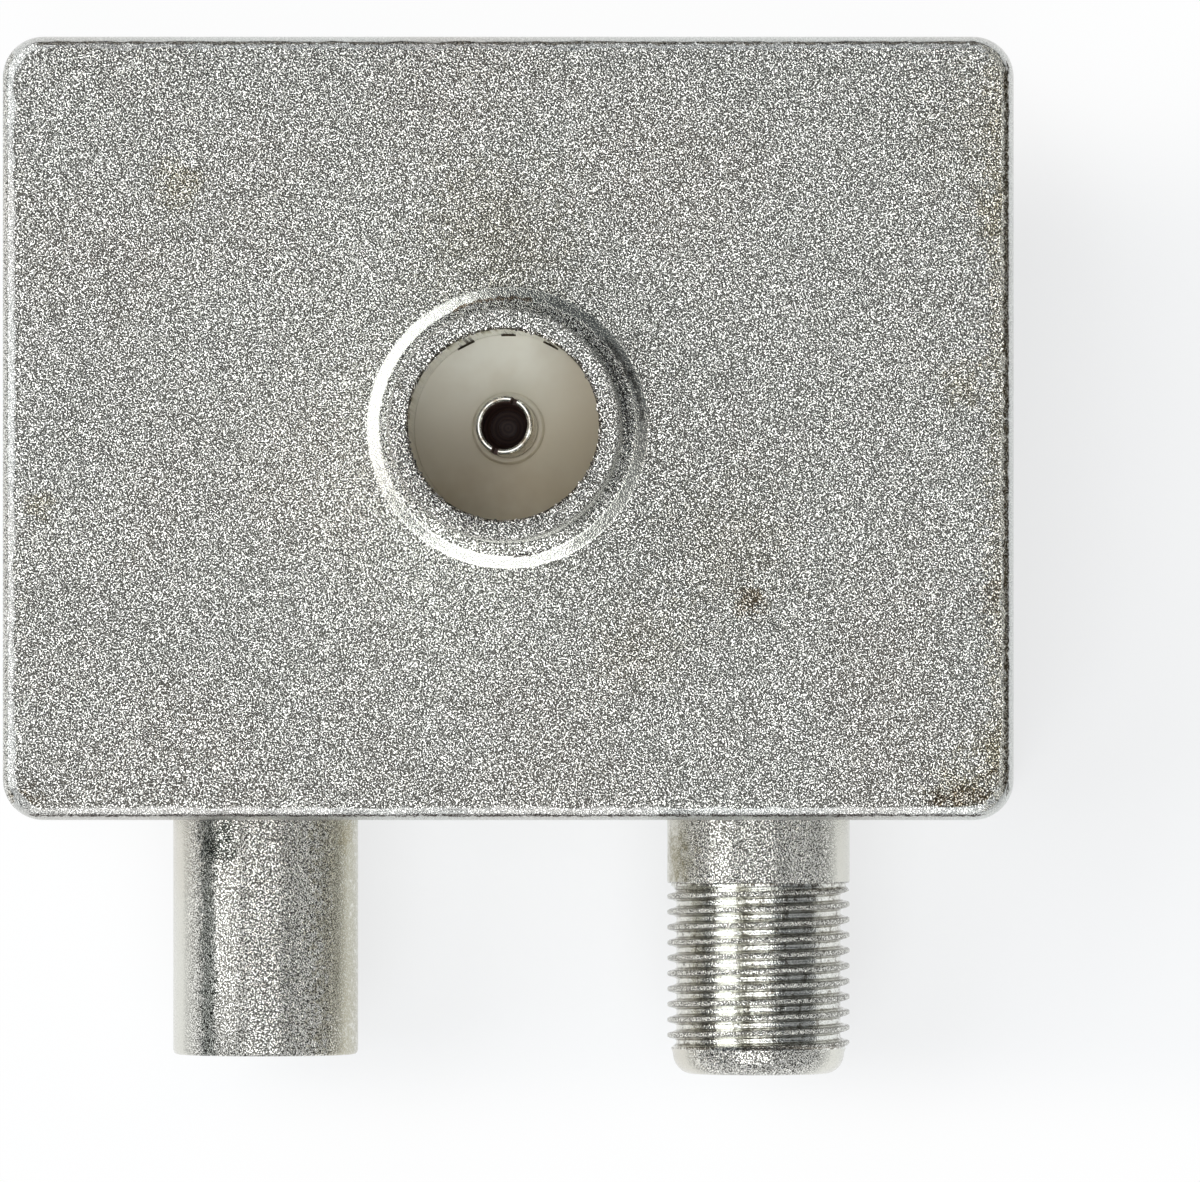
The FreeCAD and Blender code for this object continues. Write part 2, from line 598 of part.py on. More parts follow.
def make_winding(name, x):
    """Copper turns, as one band, through both holes of a core, with two legs down to the board."""
    body = new_body(name, x, "sizes.core_y", CORE_MIDDLE)
    band = new_sketch(body, "band", "XY_Plane", height="-sizes.winding_deep / 2")
    inner_end = "(sizes.core_length / 2 + sizes.winding_room)"
    outer_end = f"({inner_end} + sizes.winding_wide)"
    draw_rounded_rectangle(band, "sizes.core_pitch + sizes.winding_wide", f"2 * {outer_end}",
                           "sizes.winding_wide * 2")
    draw_rounded_rectangle(band, "sizes.core_pitch - sizes.winding_wide", f"2 * {inner_end}",
                           "sizes.winding_wide")
    pad(body, band, "sizes.winding_deep")
    legs = new_sketch(body, "legs", "XY_Plane")
    for side in (-1, 1):
        left = f"{side} * sizes.leg_pitch / 2 - sizes.leg_wide / 2"
        right = f"{side} * sizes.leg_pitch / 2 + sizes.leg_wide / 2"
        draw_outline(legs, [(left, f"-{outer_end}"), (right, f"-{outer_end}"),
                            (right, f"-{inner_end}"), (left, f"-{inner_end}")])
    pad(body, legs, "sizes.core_thick / 2", reverse=True)
    return body


def make_chip(name, x, y, thickness):
    """Chip part on the board: a body between two slightly larger metal ends."""
    body = new_body(name, x, y, BOARD_TOP)
    middle = new_sketch(body, "middle", "XY_Plane", height="sizes.chip_step")
    draw_rectangle(middle, "sizes.chip_length - sizes.chip_cap", "sizes.chip_width - 2 * sizes.chip_step")
    pad(body, middle, f"{thickness} - 2 * sizes.chip_step")
    ends = new_sketch(body, "ends", "XY_Plane")
    near = "(sizes.chip_length / 2 - sizes.chip_cap)"
    far = "(sizes.chip_length / 2)"
    side = "(sizes.chip_width / 2)"
    for left, right in ((f"-{far}", f"-{near}"), (near, far)):
        draw_outline(ends, [(left, f"-{side}"), (right, f"-{side}"), (right, side), (left, side)])
    pad(body, ends, thickness)
    return body


def make_tail_joint(name, x, tail_top, tail_is_round):
    """Solder that arches over a tail, sloped down from above it to the board on both sides."""
    body = new_body(name, x, f"-{EDGE} + sizes.tail_end - sizes.joint_set", "sizes.port_height", tilt=90)
    foot = "(sizes.joint_wide / 2)"
    crest = "(sizes.joint_crest / 2)"
    low = "-sizes.tail_diameter / 2"
    top = f"{tail_top} + sizes.solder_over"
    section = new_sketch(body, "section", "XY_Plane")
    draw_outline(section, [(f"-{foot}", low), (foot, low), (crest, top), (f"-{crest}", top)])
    pad(body, section, "sizes.joint_long")
    doc.recompute()
    if tail_is_round:
        tail = new_sketch(body, "tail", "XY_Plane", height="sizes.joint_long")
        draw_circle(tail, "sizes.tail_diameter")
        cut(body, tail, "sizes.joint_long")
    side = "(sizes.tail_diameter / 4)" if tail_is_round else "(sizes.tail_diameter / 2)"
    roof = "0" if tail_is_round else tail_top
    opening = new_sketch(body, "opening", "XY_Plane", height="sizes.joint_long")
    draw_outline(opening, [(f"-{side}", low), (side, low), (side, roof), (f"-{side}", roof)])
    cut(body, opening, "sizes.joint_long")
    return body


def make_socket_joint():
    """Solder cone round the socket contact's tail, on the board's rear side."""
    body = new_body("socket_joint")
    revolve(body, "cone", [
        ("sizes.contact_tail / 2", BOARD_UNDER),
        ("sizes.cone_foot / 2", BOARD_UNDER),
        ("sizes.contact_tail / 2", f"{BOARD_UNDER} - sizes.cone_rise"),
    ])
    return body


def make_ground_joints():
    """Four solder fillets that earth the board's rear side to the casting's side walls, opposite the lugs."""
    top = value(BOARD_UNDER)
    wall = value("sizes.box_width / 2 - sizes.side_wall")
    leg = value("sizes.fillet_leg")
    length = value("sizes.lug_size")
    fillets = []
    for side_x in (-1, 1):
        for side_y in (-1, 1):
            start = side_y * value("sizes.lug_y") - length / 2
            corners = [Vector(side_x * (wall - leg), start, top), Vector(side_x * wall, start, top),
                       Vector(side_x * wall, start, top - leg)]
            section = Part.Face(Part.makePolygon(corners + corners[:1]))
            fillets.append(section.extrude(Vector(0, length, 0)))
    group = doc.addObject("Part::Feature", "ground_joints")
    group.Label = "ground_joints"
    group.Shape = Part.makeCompound(fillets)
    return group


pieces = [
    make_housing(),
    make_rear_cover(),
    make_socket_insulator(),
    make_socket_contact(),
    make_plug_insulator(),
    make_plug_pin(),
    make_f_insulator(),
    make_f_contact(),
    make_circuit_board(),
    make_core("matching_core", "-sizes.core_x"),
    make_winding("matching_winding", "-sizes.core_x"),
    make_core("splitting_core", "sizes.core_x"),
    make_winding("splitting_winding", "sizes.core_x"),
    make_chip("socket_capacitor", "0", "-sizes.core_y", "sizes.capacitor_high"),
    make_chip("plug_capacitor", PLUG_X, "-sizes.capacitor_y", "sizes.capacitor_high"),
    make_chip("f_capacitor", PORT_X, "-sizes.capacitor_y", "sizes.capacitor_high"),
    make_chip("balance_resistor", "0", "-sizes.capacitor_y", "sizes.resistor_high"),
    make_tail_joint("plug_joint", PLUG_X, "sizes.tail_diameter / 2", tail_is_round=True),
    make_tail_joint("f_joint", PORT_X, "-sizes.tail_diameter / 2 + sizes.clip_thick", tail_is_round=False),
    make_socket_joint(),
    make_ground_joints(),
]

doc.recompute()
for item in doc.Objects:
    if "Invalid" in item.State or "Error" in item.State:
        raise RuntimeError(f"{item.Name} failed: {item.State}")
os.makedirs("parts", exist_ok=True)
for piece in pieces:
    if piece.Shape.isNull() or not piece.Shape.isValid():
        raise RuntimeError(f"{piece.Label} has no valid shape")
    piece.Shape.exportStep(f"parts/{piece.Label}.step")
    print(f"{piece.Label}: {piece.Shape.Volume:.1f} mm3, {len(piece.Shape.Solids)} solid(s)")
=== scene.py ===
import math

import bmesh
import bpy
from mathutils import Matrix, Vector, noise


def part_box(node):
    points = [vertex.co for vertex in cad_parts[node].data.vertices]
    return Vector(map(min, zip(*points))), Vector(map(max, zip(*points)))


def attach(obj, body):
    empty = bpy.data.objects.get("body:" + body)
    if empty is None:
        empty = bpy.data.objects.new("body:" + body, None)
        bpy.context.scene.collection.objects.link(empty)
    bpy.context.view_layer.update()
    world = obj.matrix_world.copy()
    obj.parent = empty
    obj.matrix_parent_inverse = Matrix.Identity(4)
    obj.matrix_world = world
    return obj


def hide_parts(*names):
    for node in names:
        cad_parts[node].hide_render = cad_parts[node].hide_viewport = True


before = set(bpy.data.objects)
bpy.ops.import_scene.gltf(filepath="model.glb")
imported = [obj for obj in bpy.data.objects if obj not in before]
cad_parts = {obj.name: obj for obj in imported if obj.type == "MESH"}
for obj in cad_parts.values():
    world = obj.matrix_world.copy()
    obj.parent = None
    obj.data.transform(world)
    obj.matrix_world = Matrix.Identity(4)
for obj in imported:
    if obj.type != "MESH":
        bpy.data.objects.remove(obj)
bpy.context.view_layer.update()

# Housing
# One zinc die casting: an open-backed box, a socket shell on its face, and a plug shell and a
# threaded port on its lower edge. It is nickel plated over a grainy skin, smooth where tools cut it.
MM = 0.001
box_low, box_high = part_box("housing")
half_width = box_high.x
half_height = box_high.y
rim_level = box_high.z
ports_end = box_low.y
face_level = 15.5 * MM
draft = math.tan(math.radians(0.5))
upright_corner = 2.2 * MM
edge_height = 0.9 * MM
chamfer_level = face_level - 0.13 * MM
side_wall = 1.5 * MM
front_wall = 1.6 * MM
cover_rim = 0.7 * MM
cover_depth = 0.8 * MM
corner_steps = 14
side_steps = 130
ring_points = 4 * (corner_steps + side_steps)
corner_share = 0.4


def rounded_ring(inset, level, corner):
    """Points round a rounded rectangle, set in from the box's widest outline, counter-clockwise."""
    points = []
    reach_x = half_width - inset - corner
    reach_y = half_height - inset - corner
    for quarter in range(4):
        sign_x = 1 if quarter in (0, 3) else -1
        sign_y = 1 if quarter in (0, 1) else -1
        centre = Vector((sign_x * reach_x, sign_y * reach_y, level))
        start = quarter * math.pi / 2
        for step in range(corner_steps + 1):
            angle = start + step / corner_steps * math.pi / 2
            points.append(centre + corner * Vector((math.cos(angle), math.sin(angle), 0)))
        run = [Vector((-2 * reach_x, 0, 0)), Vector((0, -2 * reach_y, 0)),
               Vector((2 * reach_x, 0, 0)), Vector((0, 2 * reach_y, 0))][quarter]
        corner_end = points[-1]
        points.extend(corner_end + run * step / side_steps for step in range(1, side_steps))
    return points


def round_ring(radius, level):
    """Points round a circle about the socket's axis, in step with those of a rounded ring."""
    points = []
    for index in range(ring_points):
        angle = math.pi / 4 + (index - corner_steps / 2) / ring_points * math.tau
        points.append(Vector((radius * math.cos(angle), radius * math.sin(angle), level)))
    return points


def skin(name, rings, ends):
    """A mesh over rings of points. Its ends are joined to each other, capped, or left open."""
    shape = bmesh.new()
    rows = [[shape.verts.new(point) for point in ring] for ring in rings]
    chain = rows + rows[:1] if ends == "joined" else rows
    for near, far in zip(chain, chain[1:]):
        for index in range(len(near)):
            after = (index + 1) % len(near)
            shape.faces.new((near[index], near[after], far[after], far[index]))
    if ends == "capped":
        shape.faces.new(rows[0])
        shape.faces.new(rows[-1])
    mesh = bpy.data.meshes.new(name)
    shape.to_mesh(mesh)
    shape.free()
    return mesh


merge_distance = 0.0005 * MM


def close_up(mesh):
    """Merge doubles and turn all faces outwards."""
    shape = bmesh.new()
    shape.from_mesh(mesh)
    bmesh.ops.remove_doubles(shape, verts=shape.verts, dist=merge_distance)
    bmesh.ops.recalc_face_normals(shape, faces=shape.faces)
    shape.to_mesh(mesh)
    shape.free()


def place(name, mesh):
    """An object at the origin that shows the mesh."""
    piece = bpy.data.objects.new(name, mesh)
    bpy.context.scene.collection.objects.link(piece)
    return piece


def combine(piece, operation, others):
    """Fuse others to the piece, or cut them out of it, and leave one plain mesh."""
    for other in others:
        tool = piece.modifiers.new(operation, "BOOLEAN")
        tool.operation = operation
        tool.solver = "EXACT"
        tool.object = other
    bpy.context.view_layer.update()
    shaped = piece.evaluated_get(bpy.context.evaluated_depsgraph_get())
    mesh = bpy.data.meshes.new_from_object(shaped)
    piece.modifiers.clear()
    piece.data = mesh
    for other in others:
        bpy.data.objects.remove(other)


def box_side(level, inset=0.0):
    """A ring on the drafted side of the box."""
    return rounded_ring(inset + level * draft, level, upright_corner - inset * corner_share - level * draft)


def ragged(ring, amount, grain):
    """The ring with its points pushed a little in or out, as an uneven cast edge."""
    pushed = []
    for point in ring:
        wander = noise.noise(point / grain)
        outward = Vector((point.x, point.y, 0)).normalized()
        pushed.append(point + outward * wander * amount)
    return pushed


# the box, from its rear rim up the outside to the edge of its face
edge_break = 0.1 * MM
side_top = face_level - edge_height
housing_rings = [box_side(0, edge_break), box_side(edge_break)]
housing_rings += [box_side(side_top * share) for share in (0.35, 0.7, 1.0)]
edge_outline = [  # inset from the side, drop below the face
    (0.05 * MM, 0.6 * MM),
    (0.13 * MM, 0.38 * MM),
    (0.21 * MM, 0.24 * MM),
    (0.26 * MM, 0.165 * MM),
    (0.29 * MM, 0.135 * MM),
    (0.32 * MM, 0.117 * MM),
    (0.42 * MM, 0.074 * MM),
    (0.53 * MM, 0.028 * MM),
    (0.57 * MM, 0.012 * MM),
    (0.61 * MM, 0.003 * MM),
    (0.66 * MM, 0.0),
]
edge_inset = side_top * draft
raggedness = 0.3
burr_size = 0.8 * MM
for inset, drop in edge_outline:
    corner = upright_corner - edge_inset - inset * corner_share
    ring = rounded_ring(edge_inset + inset, face_level - drop, corner)
    housing_rings.append(ragged(ring, raggedness * inset, burr_size))

# the socket: low boss with a soft flank, shoulder, tube, rim with a ragged inner edge, bore and ledge
boss_foot = 7.17 * MM
boss_top = 6.53 * MM
shoulder_level = face_level + 0.26 * MM
tube_radius = 5.9 * MM
rim_flat = 5.76 * MM
socket_bore = 4.8 * MM
ledge_level = rim_level - 10.6 * MM
seat_hole = 3.5 * MM
seat_ring = 6.4 * MM
seat_bottom = face_level - front_wall - 2.5 * MM
swell = 0.08 * MM
flank_foot = face_level + swell
flank_rise = shoulder_level + 0.06 * MM - flank_foot
flank_steps = [(0.0, 0.0), (0.06, 0.03), (0.15, 0.11), (0.5, 0.5), (0.85, 0.89), (0.94, 0.97), (1.0, 1.0)]
around_boss = [  # radius and level, as in the outlines below
    (13.5 * MM, face_level),
    (12.0 * MM, face_level + swell * 0.08),
    (10.5 * MM, face_level + swell * 0.3),
    (9.2 * MM, face_level + swell * 0.6),
    (8.2 * MM, face_level + swell * 0.85),
    (boss_foot + 0.3 * MM, face_level + swell * 0.97),
]
flank = [(boss_foot + (boss_top - boss_foot) * inward, flank_foot + flank_rise * upward)
         for inward, upward in flank_steps]
tube_outline = [
    (tube_radius + 0.1 * MM, shoulder_level + 0.12 * MM),
    (tube_radius + 0.02 * MM, shoulder_level + 0.17 * MM),
    (tube_radius, shoulder_level + 0.4 * MM),
    (tube_radius - 0.03 * MM, rim_level - 0.3 * MM),
    (tube_radius - 0.05 * MM, rim_level - 0.2 * MM),
    (rim_flat + 0.03 * MM, rim_level - 0.06 * MM),
    (rim_flat - 0.03 * MM, rim_level),
]
bore_edge = [
    (socket_bore + 0.12 * MM, rim_level),
    (socket_bore + 0.03 * MM, rim_level - 0.05 * MM),
]
bore_outline = [
    (socket_bore, rim_level - 0.16 * MM),
    (socket_bore, ledge_level),
    (seat_hole, ledge_level),
    (seat_hole, seat_bottom),
    (seat_ring, seat_bottom),
    (seat_ring, face_level - front_wall),
]
flank_burr = 0.025 * MM
flank_grain = 0.35 * MM
rim_burr = 0.16 * MM
housing_rings += [round_ring(radius, level) for radius, level in around_boss]
housing_rings += [ragged(round_ring(radius, level), flank_burr, flank_grain) for radius, level in flank]
housing_rings += [round_ring(radius, level) for radius, level in tube_outline]
housing_rings += [ragged(round_ring(radius, level), rim_burr, rim_burr) for radius, level in bore_edge]
housing_rings += [round_ring(radius, level) for radius, level in bore_outline]

# the inside of the box, back to the rim that takes the cover
housing_rings += [
    rounded_ring(side_wall, face_level - front_wall, upright_corner - side_wall / 2),
    rounded_ring(side_wall, cover_depth, upright_corner - side_wall / 2),
    rounded_ring(cover_rim, cover_depth, upright_corner - cover_rim / 2),
    rounded_ring(cover_rim, 0, upright_corner - cover_rim / 2),
]
housing_mesh = skin("housing", housing_rings, "joined")
close_up(housing_mesh)
housing = place("housing_casting", housing_mesh)

# the two ports: outlines of radius and distance outside the box's edge, turned about their axes
plug_x = -12.7 * MM
port_x = 12.7 * MM
port_level = 7.75 * MM
port_points = 192
port_root = -1.0 * MM
plug_radius = 4.76 * MM
plug_length = 12.0 * MM
plug_bore = 4.15 * MM
plug_ledge = 0.9 * MM
plug_hole = 3.0 * MM
port_radius = 4.7 * MM
port_length = -ports_end - half_height
port_bore = 2.9 * MM
port_ledge = -0.5 * MM
port_hole = 1.7 * MM
hole_end = -2.0 * MM


def port_ring(centre, radius, distance):
    """Points round a port's axis, at a distance outside the box's edge."""
    points = []
    for index in range(port_points):
        angle = index / port_points * math.tau
        points.append(Vector((centre + radius * math.cos(angle), -half_height - distance,
                              port_level + radius * math.sin(angle))))
    return points


def turned(name, centre, outline, ends="capped"):
    """A mesh turned about a port's axis, or about the socket's if no centre is given."""
    rings = [round_ring(radius, along) if centre is None else port_ring(centre, radius, along)
             for radius, along in outline]
    mesh = skin(name, rings, ends)
    close_up(mesh)
    return mesh


def block(name, middle, size, turn=0.0):
    """A plain block about a middle point, turned about the vertical."""
    shape = bmesh.new()
    bmesh.ops.create_cube(shape, size=1.0)
    bmesh.ops.scale(shape, vec=size, verts=shape.verts)
    bmesh.ops.rotate(shape, cent=(0, 0, 0), matrix=Matrix.Rotation(turn, 3, "Z"), verts=shape.verts)
    bmesh.ops.translate(shape, vec=middle, verts=shape.verts)
    mesh = bpy.data.meshes.new(name)
    shape.to_mesh(mesh)
    shape.free()
    return place(name, mesh)


plug_shell = place("plug_shell", turned("plug_shell", plug_x, [
    (plug_radius, port_root),
    (plug_radius, 3.0 * MM),
    (plug_radius, 8.0 * MM),
    (plug_radius, plug_length - 0.25 * MM),
    (plug_radius - 0.04 * MM, plug_length - 0.12 * MM),
    (plug_radius - 0.12 * MM, plug_length - 0.03 * MM),
    (plug_radius - 0.24 * MM, plug_length),
]))
plug_cutter = place("plug_cutter", turned("plug_cutter", plug_x, [
    (plug_bore + 0.15 * MM, plug_length + 0.1 * MM),
    (plug_bore + 0.1 * MM, plug_length),
    (plug_bore + 0.03 * MM, plug_length - 0.05 * MM),
    (plug_bore, plug_length - 0.15 * MM),
    (plug_bore, plug_ledge),
    (plug_hole, plug_ledge),
    (plug_hole, hole_end),
]))
port_cutter = place("port_cutter", turned("port_cutter", port_x, [
    (port_bore + 0.15 * MM, port_length + 0.1 * MM),
    (port_bore + 0.1 * MM, port_length),
    (port_bore + 0.02 * MM, port_length - 0.05 * MM),
    (port_bore, port_length - 0.12 * MM),
    (port_bore, port_ledge),
    (port_hole, port_ledge),
    (port_hole, hole_end),
]))


def add(tree, kind, inputs=None, **settings):
    """A node with its settings made and its inputs filled, from numbers or from other nodes."""
    made = tree.nodes.new(kind)
    for key, setting in settings.items():
        setattr(made, key, setting)
    for key, source in (inputs or {}).items():
        if isinstance(source, bpy.types.NodeSocket):
            tree.links.new(source, made.inputs[key])
        else:
            made.inputs[key].default_value = source
    return made


def sums(tree, operation, *terms, clamp=False):
    """The output of a Math node, in a shader tree or a geometry tree."""
    made = add(tree, "ShaderNodeMath", dict(enumerate(terms)), operation=operation, use_clamp=clamp)
    return made.outputs[0]


def ramp(tree, value, low, high, to_low=0.0, to_high=1.0):
    """A value spread smoothly from low..high over another range."""
    made = add(tree, "ShaderNodeMapRange", {
        "Value": value, "From Min": low, "From Max": high, "To Min": to_low, "To Max": to_high,
    }, interpolation_type="SMOOTHSTEP")
    return made.outputs[0]


def new_tree(kind, name, inputs, outputs):
    """A node group with named inputs and outputs, and its two end nodes."""
    tree = bpy.data.node_groups.new(name, kind)
    for label, (socket, start) in inputs.items():
        made = tree.interface.new_socket(label, in_out="INPUT", socket_type=socket)
        if start is not None:
            made.default_value = start
    for label, socket in outputs.items():
        tree.interface.new_socket(label, in_out="OUTPUT", socket_type=socket)
    return tree, tree.nodes.new("NodeGroupInput"), tree.nodes.new("NodeGroupOutput")


# the thread: a sheet of rows that climb one pitch a turn, wrapped round the port and sunk between crests
pitch = 25.4 / 32 * MM
relief_radius = 4.5 * MM
collar_end = 3.1 * MM
thread_start = 3.3 * MM
thread_end = port_length - 1.3 * MM
run_out_length = 0.3 * MM
thread_inputs = {
    "Crest Radius": ("NodeSocketFloat", port_radius),
    "End Radius": ("NodeSocketFloat", relief_radius),
    "Pitch": ("NodeSocketFloat", pitch),
    "Depth": ("NodeSocketFloat", 0.47 * MM),
    "Start": ("NodeSocketFloat", thread_start),
    "End": ("NodeSocketFloat", thread_end),
    "First Crest": ("NodeSocketFloat", 4.27 * MM - 3 * pitch),
    "Turns": ("NodeSocketInt", 14),
    "Rows per Turn": ("NodeSocketInt", 16),
    "Points Round": ("NodeSocketInt", port_points),
    "Axis": ("NodeSocketVector", (port_x, -half_height, port_level)),
    "Material": ("NodeSocketMaterial", None),
}
helix, given, result = new_tree("GeometryNodeTree", "cut thread", thread_inputs, {
    "Geometry": "NodeSocketGeometry"})
rows = sums(helix, "MULTIPLY", given.outputs["Turns"], given.outputs["Rows per Turn"])
sheet = add(helix, "GeometryNodeMeshGrid", {
    "Size X": 1.0,
    "Size Y": 1.0,
    "Vertices X": sums(helix, "ADD", given.outputs["Points Round"], 1.0),
    "Vertices Y": sums(helix, "ADD", rows, 1.0),
})
grid = add(helix, "GeometryNodeInputPosition")
spot = add(helix, "ShaderNodeSeparateXYZ", {0: grid.outputs[0]})
around = sums(helix, "ADD", spot.outputs["X"], 0.5)
turn_count = sums(helix, "MULTIPLY", sums(helix, "ADD", spot.outputs["Y"], 0.5), given.outputs["Turns"])
climb = sums(helix, "MULTIPLY", sums(helix, "ADD", turn_count, around), given.outputs["Pitch"])
reach = sums(helix, "ADD", climb, given.outputs["First Crest"])
along = sums(helix, "MINIMUM", sums(helix, "MAXIMUM", reach, given.outputs["Start"]), given.outputs["End"])
across = sums(helix, "SUBTRACT", sums(helix, "FRACT", turn_count), 0.5)
from_crest = sums(helix, "SUBTRACT", 0.5, sums(helix, "ABSOLUTE", across))

# the crest is a narrow flat, its flanks fall smoothly, and the root dips a little further
dip = ramp(helix, from_crest, 0.1, 0.36)
hollow = sums(helix, "ADD", sums(helix, "MULTIPLY", dip, 0.95), sums(helix, "MULTIPLY", from_crest, 0.1))
cut_radius = sums(helix, "SUBTRACT", given.outputs["Crest Radius"],
                  sums(helix, "MULTIPLY", hollow, given.outputs["Depth"]))
from_end = sums(helix, "MINIMUM", sums(helix, "SUBTRACT", along, given.outputs["Start"]),
                sums(helix, "SUBTRACT", given.outputs["End"], along))
run_out = sums(helix, "DIVIDE", from_end, run_out_length, clamp=True)
radius_here = add(helix, "ShaderNodeMix", {
    "Factor": run_out, "A": given.outputs["End Radius"], "B": cut_radius}).outputs[0]
turn_angle = sums(helix, "MULTIPLY", around, math.tau)
on_barrel = add(helix, "ShaderNodeCombineXYZ", {
    "X": sums(helix, "MULTIPLY", radius_here, sums(helix, "COSINE", turn_angle)),
    "Y": sums(helix, "MULTIPLY", along, -1.0),
    "Z": sums(helix, "MULTIPLY", radius_here, sums(helix, "SINE", turn_angle)),
})
wrapped = add(helix, "GeometryNodeSetPosition", {
    "Geometry": sheet.outputs["Mesh"],
    "Position": on_barrel.outputs[0],
    "Offset": given.outputs["Axis"],
})
welded = add(helix, "GeometryNodeMergeByDistance", {
    "Geometry": wrapped.outputs[0], "Distance": 0.001 * MM})
real = add(helix, "GeometryNodeRealizeInstances", {"Geometry": welded.outputs[0]})
finished = add(helix, "GeometryNodeSetMaterial", {
    "Geometry": real.outputs[0], "Material": given.outputs["Material"]})
helix.links.new(finished.outputs[0], result.inputs["Geometry"])


def run_tree(name, tree, choices):
    """The plain mesh that a geometry tree makes with these choices for its named inputs."""
    holder = place(name, bpy.data.meshes.new(name))
    maker = holder.modifiers.new(name, "NODES")
    maker.node_group = tree
    for socket in tree.interface.items_tree:
        if socket.in_out == "INPUT" and socket.name in choices:
            maker[socket.identifier] = choices[socket.name]
    bpy.context.view_layer.update()
    shaped = holder.evaluated_get(bpy.context.evaluated_depsgraph_get())
    mesh = bpy.data.meshes.new_from_object(shaped)
    holder.modifiers.clear()
    bpy.data.objects.remove(holder)
    return mesh


# the plate over the cast zinc: a worm-like grain in relief and in colour, its crests painted light as
# glints and its pits dark as shade, with stains, lines of dirt and painted shade
def effect(name, inputs, outputs):
    """A shader node group that gives out colours, masks or heights."""
    return new_tree("ShaderNodeTree", name, inputs, outputs)


def clouds(tree, where, scale, detail=2.0, roughness=0.5):
    """The value of a noise texture."""
    made = add(tree, "ShaderNodeTexNoise", {
        "Vector": where, "Scale": scale, "Detail": detail, "Roughness": roughness})
    return made.outputs["Fac"]


def blend(tree, share, colour_a, colour_b, kind="MIX"):
    """A mix of two colours."""
    made = add(tree, "ShaderNodeMix", {"Factor": share}, data_type="RGBA", blend_type=kind)
    for socket, colour in ((made.inputs[6], colour_a), (made.inputs[7], colour_b)):
        if isinstance(colour, bpy.types.NodeSocket):
            tree.links.new(colour, socket)
        else:
            socket.default_value = (*colour, 1.0)
    return made.outputs[2]


grain_tree, given, result = effect("cast grain", {
    "Position": ("NodeSocketVector", None),
    "Grains per Metre": ("NodeSocketFloat", 13700.0),
}, {"Height": "NodeSocketFloat", "Tone": "NodeSocketFloat", "Fine": "NodeSocketFloat"})
askew = add(grain_tree, "ShaderNodeMapping", {
    "Vector": given.outputs["Position"], "Rotation": (0.6, 0.35, 0.8)})
swirl = add(grain_tree, "ShaderNodeTexNoise", {
    "Vector": askew.outputs[0],
    "Scale": sums(grain_tree, "MULTIPLY", given.outputs["Grains per Metre"], 0.5),
    "Detail": 1.0})
push = add(grain_tree, "ShaderNodeVectorMath", {
    0: swirl.outputs["Color"], 1: (0.5, 0.5, 0.5)}, operation="SUBTRACT")
bent = add(grain_tree, "ShaderNodeVectorMath", {
    0: push.outputs[0],
    3: sums(grain_tree, "DIVIDE", 0.7, given.outputs["Grains per Metre"]),
}, operation="SCALE")
moved = add(grain_tree, "ShaderNodeVectorMath", {0: askew.outputs[0], 1: bent.outputs[0]})
worms = clouds(grain_tree, moved.outputs[0], given.outputs["Grains per Metre"], 0.5)
spread = add(grain_tree, "ShaderNodeMapRange", {"Value": worms, "From Min": 0.3, "From Max": 0.7})
grain_tree.links.new(spread.outputs[0], result.inputs["Tone"])
grain_tree.links.new(ramp(grain_tree, worms, 0.35, 0.65), result.inputs["Height"])
finer = sums(grain_tree, "MULTIPLY", given.outputs["Grains per Metre"], 3.0)
grain_tree.links.new(clouds(grain_tree, askew.outputs[0], finer), result.inputs["Fine"])

stain_and_shade_tree, given, result = effect("stain and shade patch", {
    "Position": ("NodeSocketVector", None),
    "Centre": ("NodeSocketVector", None),
    "Radius": ("NodeSocketFloat", MM),
}, {"Mask": "NodeSocketFloat"})
away = add(stain_and_shade_tree, "ShaderNodeVectorMath", {
    0: given.outputs["Position"], 1: given.outputs["Centre"]}, operation="DISTANCE")
fringe = clouds(stain_and_shade_tree, given.outputs["Position"], 1900.0, 4.0, 0.7)
in_radii = sums(stain_and_shade_tree, "DIVIDE", away.outputs["Value"], given.outputs["Radius"])
fray = sums(stain_and_shade_tree, "MULTIPLY", sums(stain_and_shade_tree, "SUBTRACT", fringe, 0.5), 2.6)
spread = sums(stain_and_shade_tree, "ADD", in_radii, fray)
stain_and_shade_tree.links.new(ramp(stain_and_shade_tree, spread, 1.0, 0.1), result.inputs["Mask"])

line_tree, given, result = effect("dirt and shade line", {
    "Distance": ("NodeSocketFloat", 0.0),
    "Position": ("NodeSocketVector", None),
    "Reach": ("NodeSocketFloat", 0.2 * MM),
    "Specks per Metre": ("NodeSocketFloat", 3000.0),
}, {"Mask": "NodeSocketFloat"})
specks = clouds(line_tree, given.outputs["Position"], given.outputs["Specks per Metre"], 3.0, 0.65)
in_reaches = sums(line_tree, "DIVIDE", given.outputs["Distance"], given.outputs["Reach"])
gaps = sums(line_tree, "MULTIPLY", sums(line_tree, "SUBTRACT", specks, 0.5), 4.5)
nearness = sums(line_tree, "ADD", in_reaches, gaps)
line_tree.links.new(ramp(line_tree, nearness, 1.15, 0.55), result.inputs["Mask"])


def new_material(name):
    """An empty node material with its shader and its Object coordinates."""
    made = bpy.data.materials.new(name)
    made.use_nodes = True
    tree = made.node_tree
    tree.nodes.clear()
    shader = tree.nodes.new("ShaderNodeBsdfPrincipled")
    output = tree.nodes.new("ShaderNodeOutputMaterial")
    tree.links.new(shader.outputs[0], output.inputs["Surface"])
    return made, tree, shader, add(tree, "ShaderNodeTexCoord").outputs["Object"]


def apart(tree, value, level):
    """How far a value is from a level, either way."""
    return sums(tree, "ABSOLUTE", sums(tree, "SUBTRACT", value, level))


def along_axis(tree, where, axis):
    """One coordinate of a place."""
    return add(tree, "ShaderNodeSeparateXYZ", {0: where}).outputs[axis]


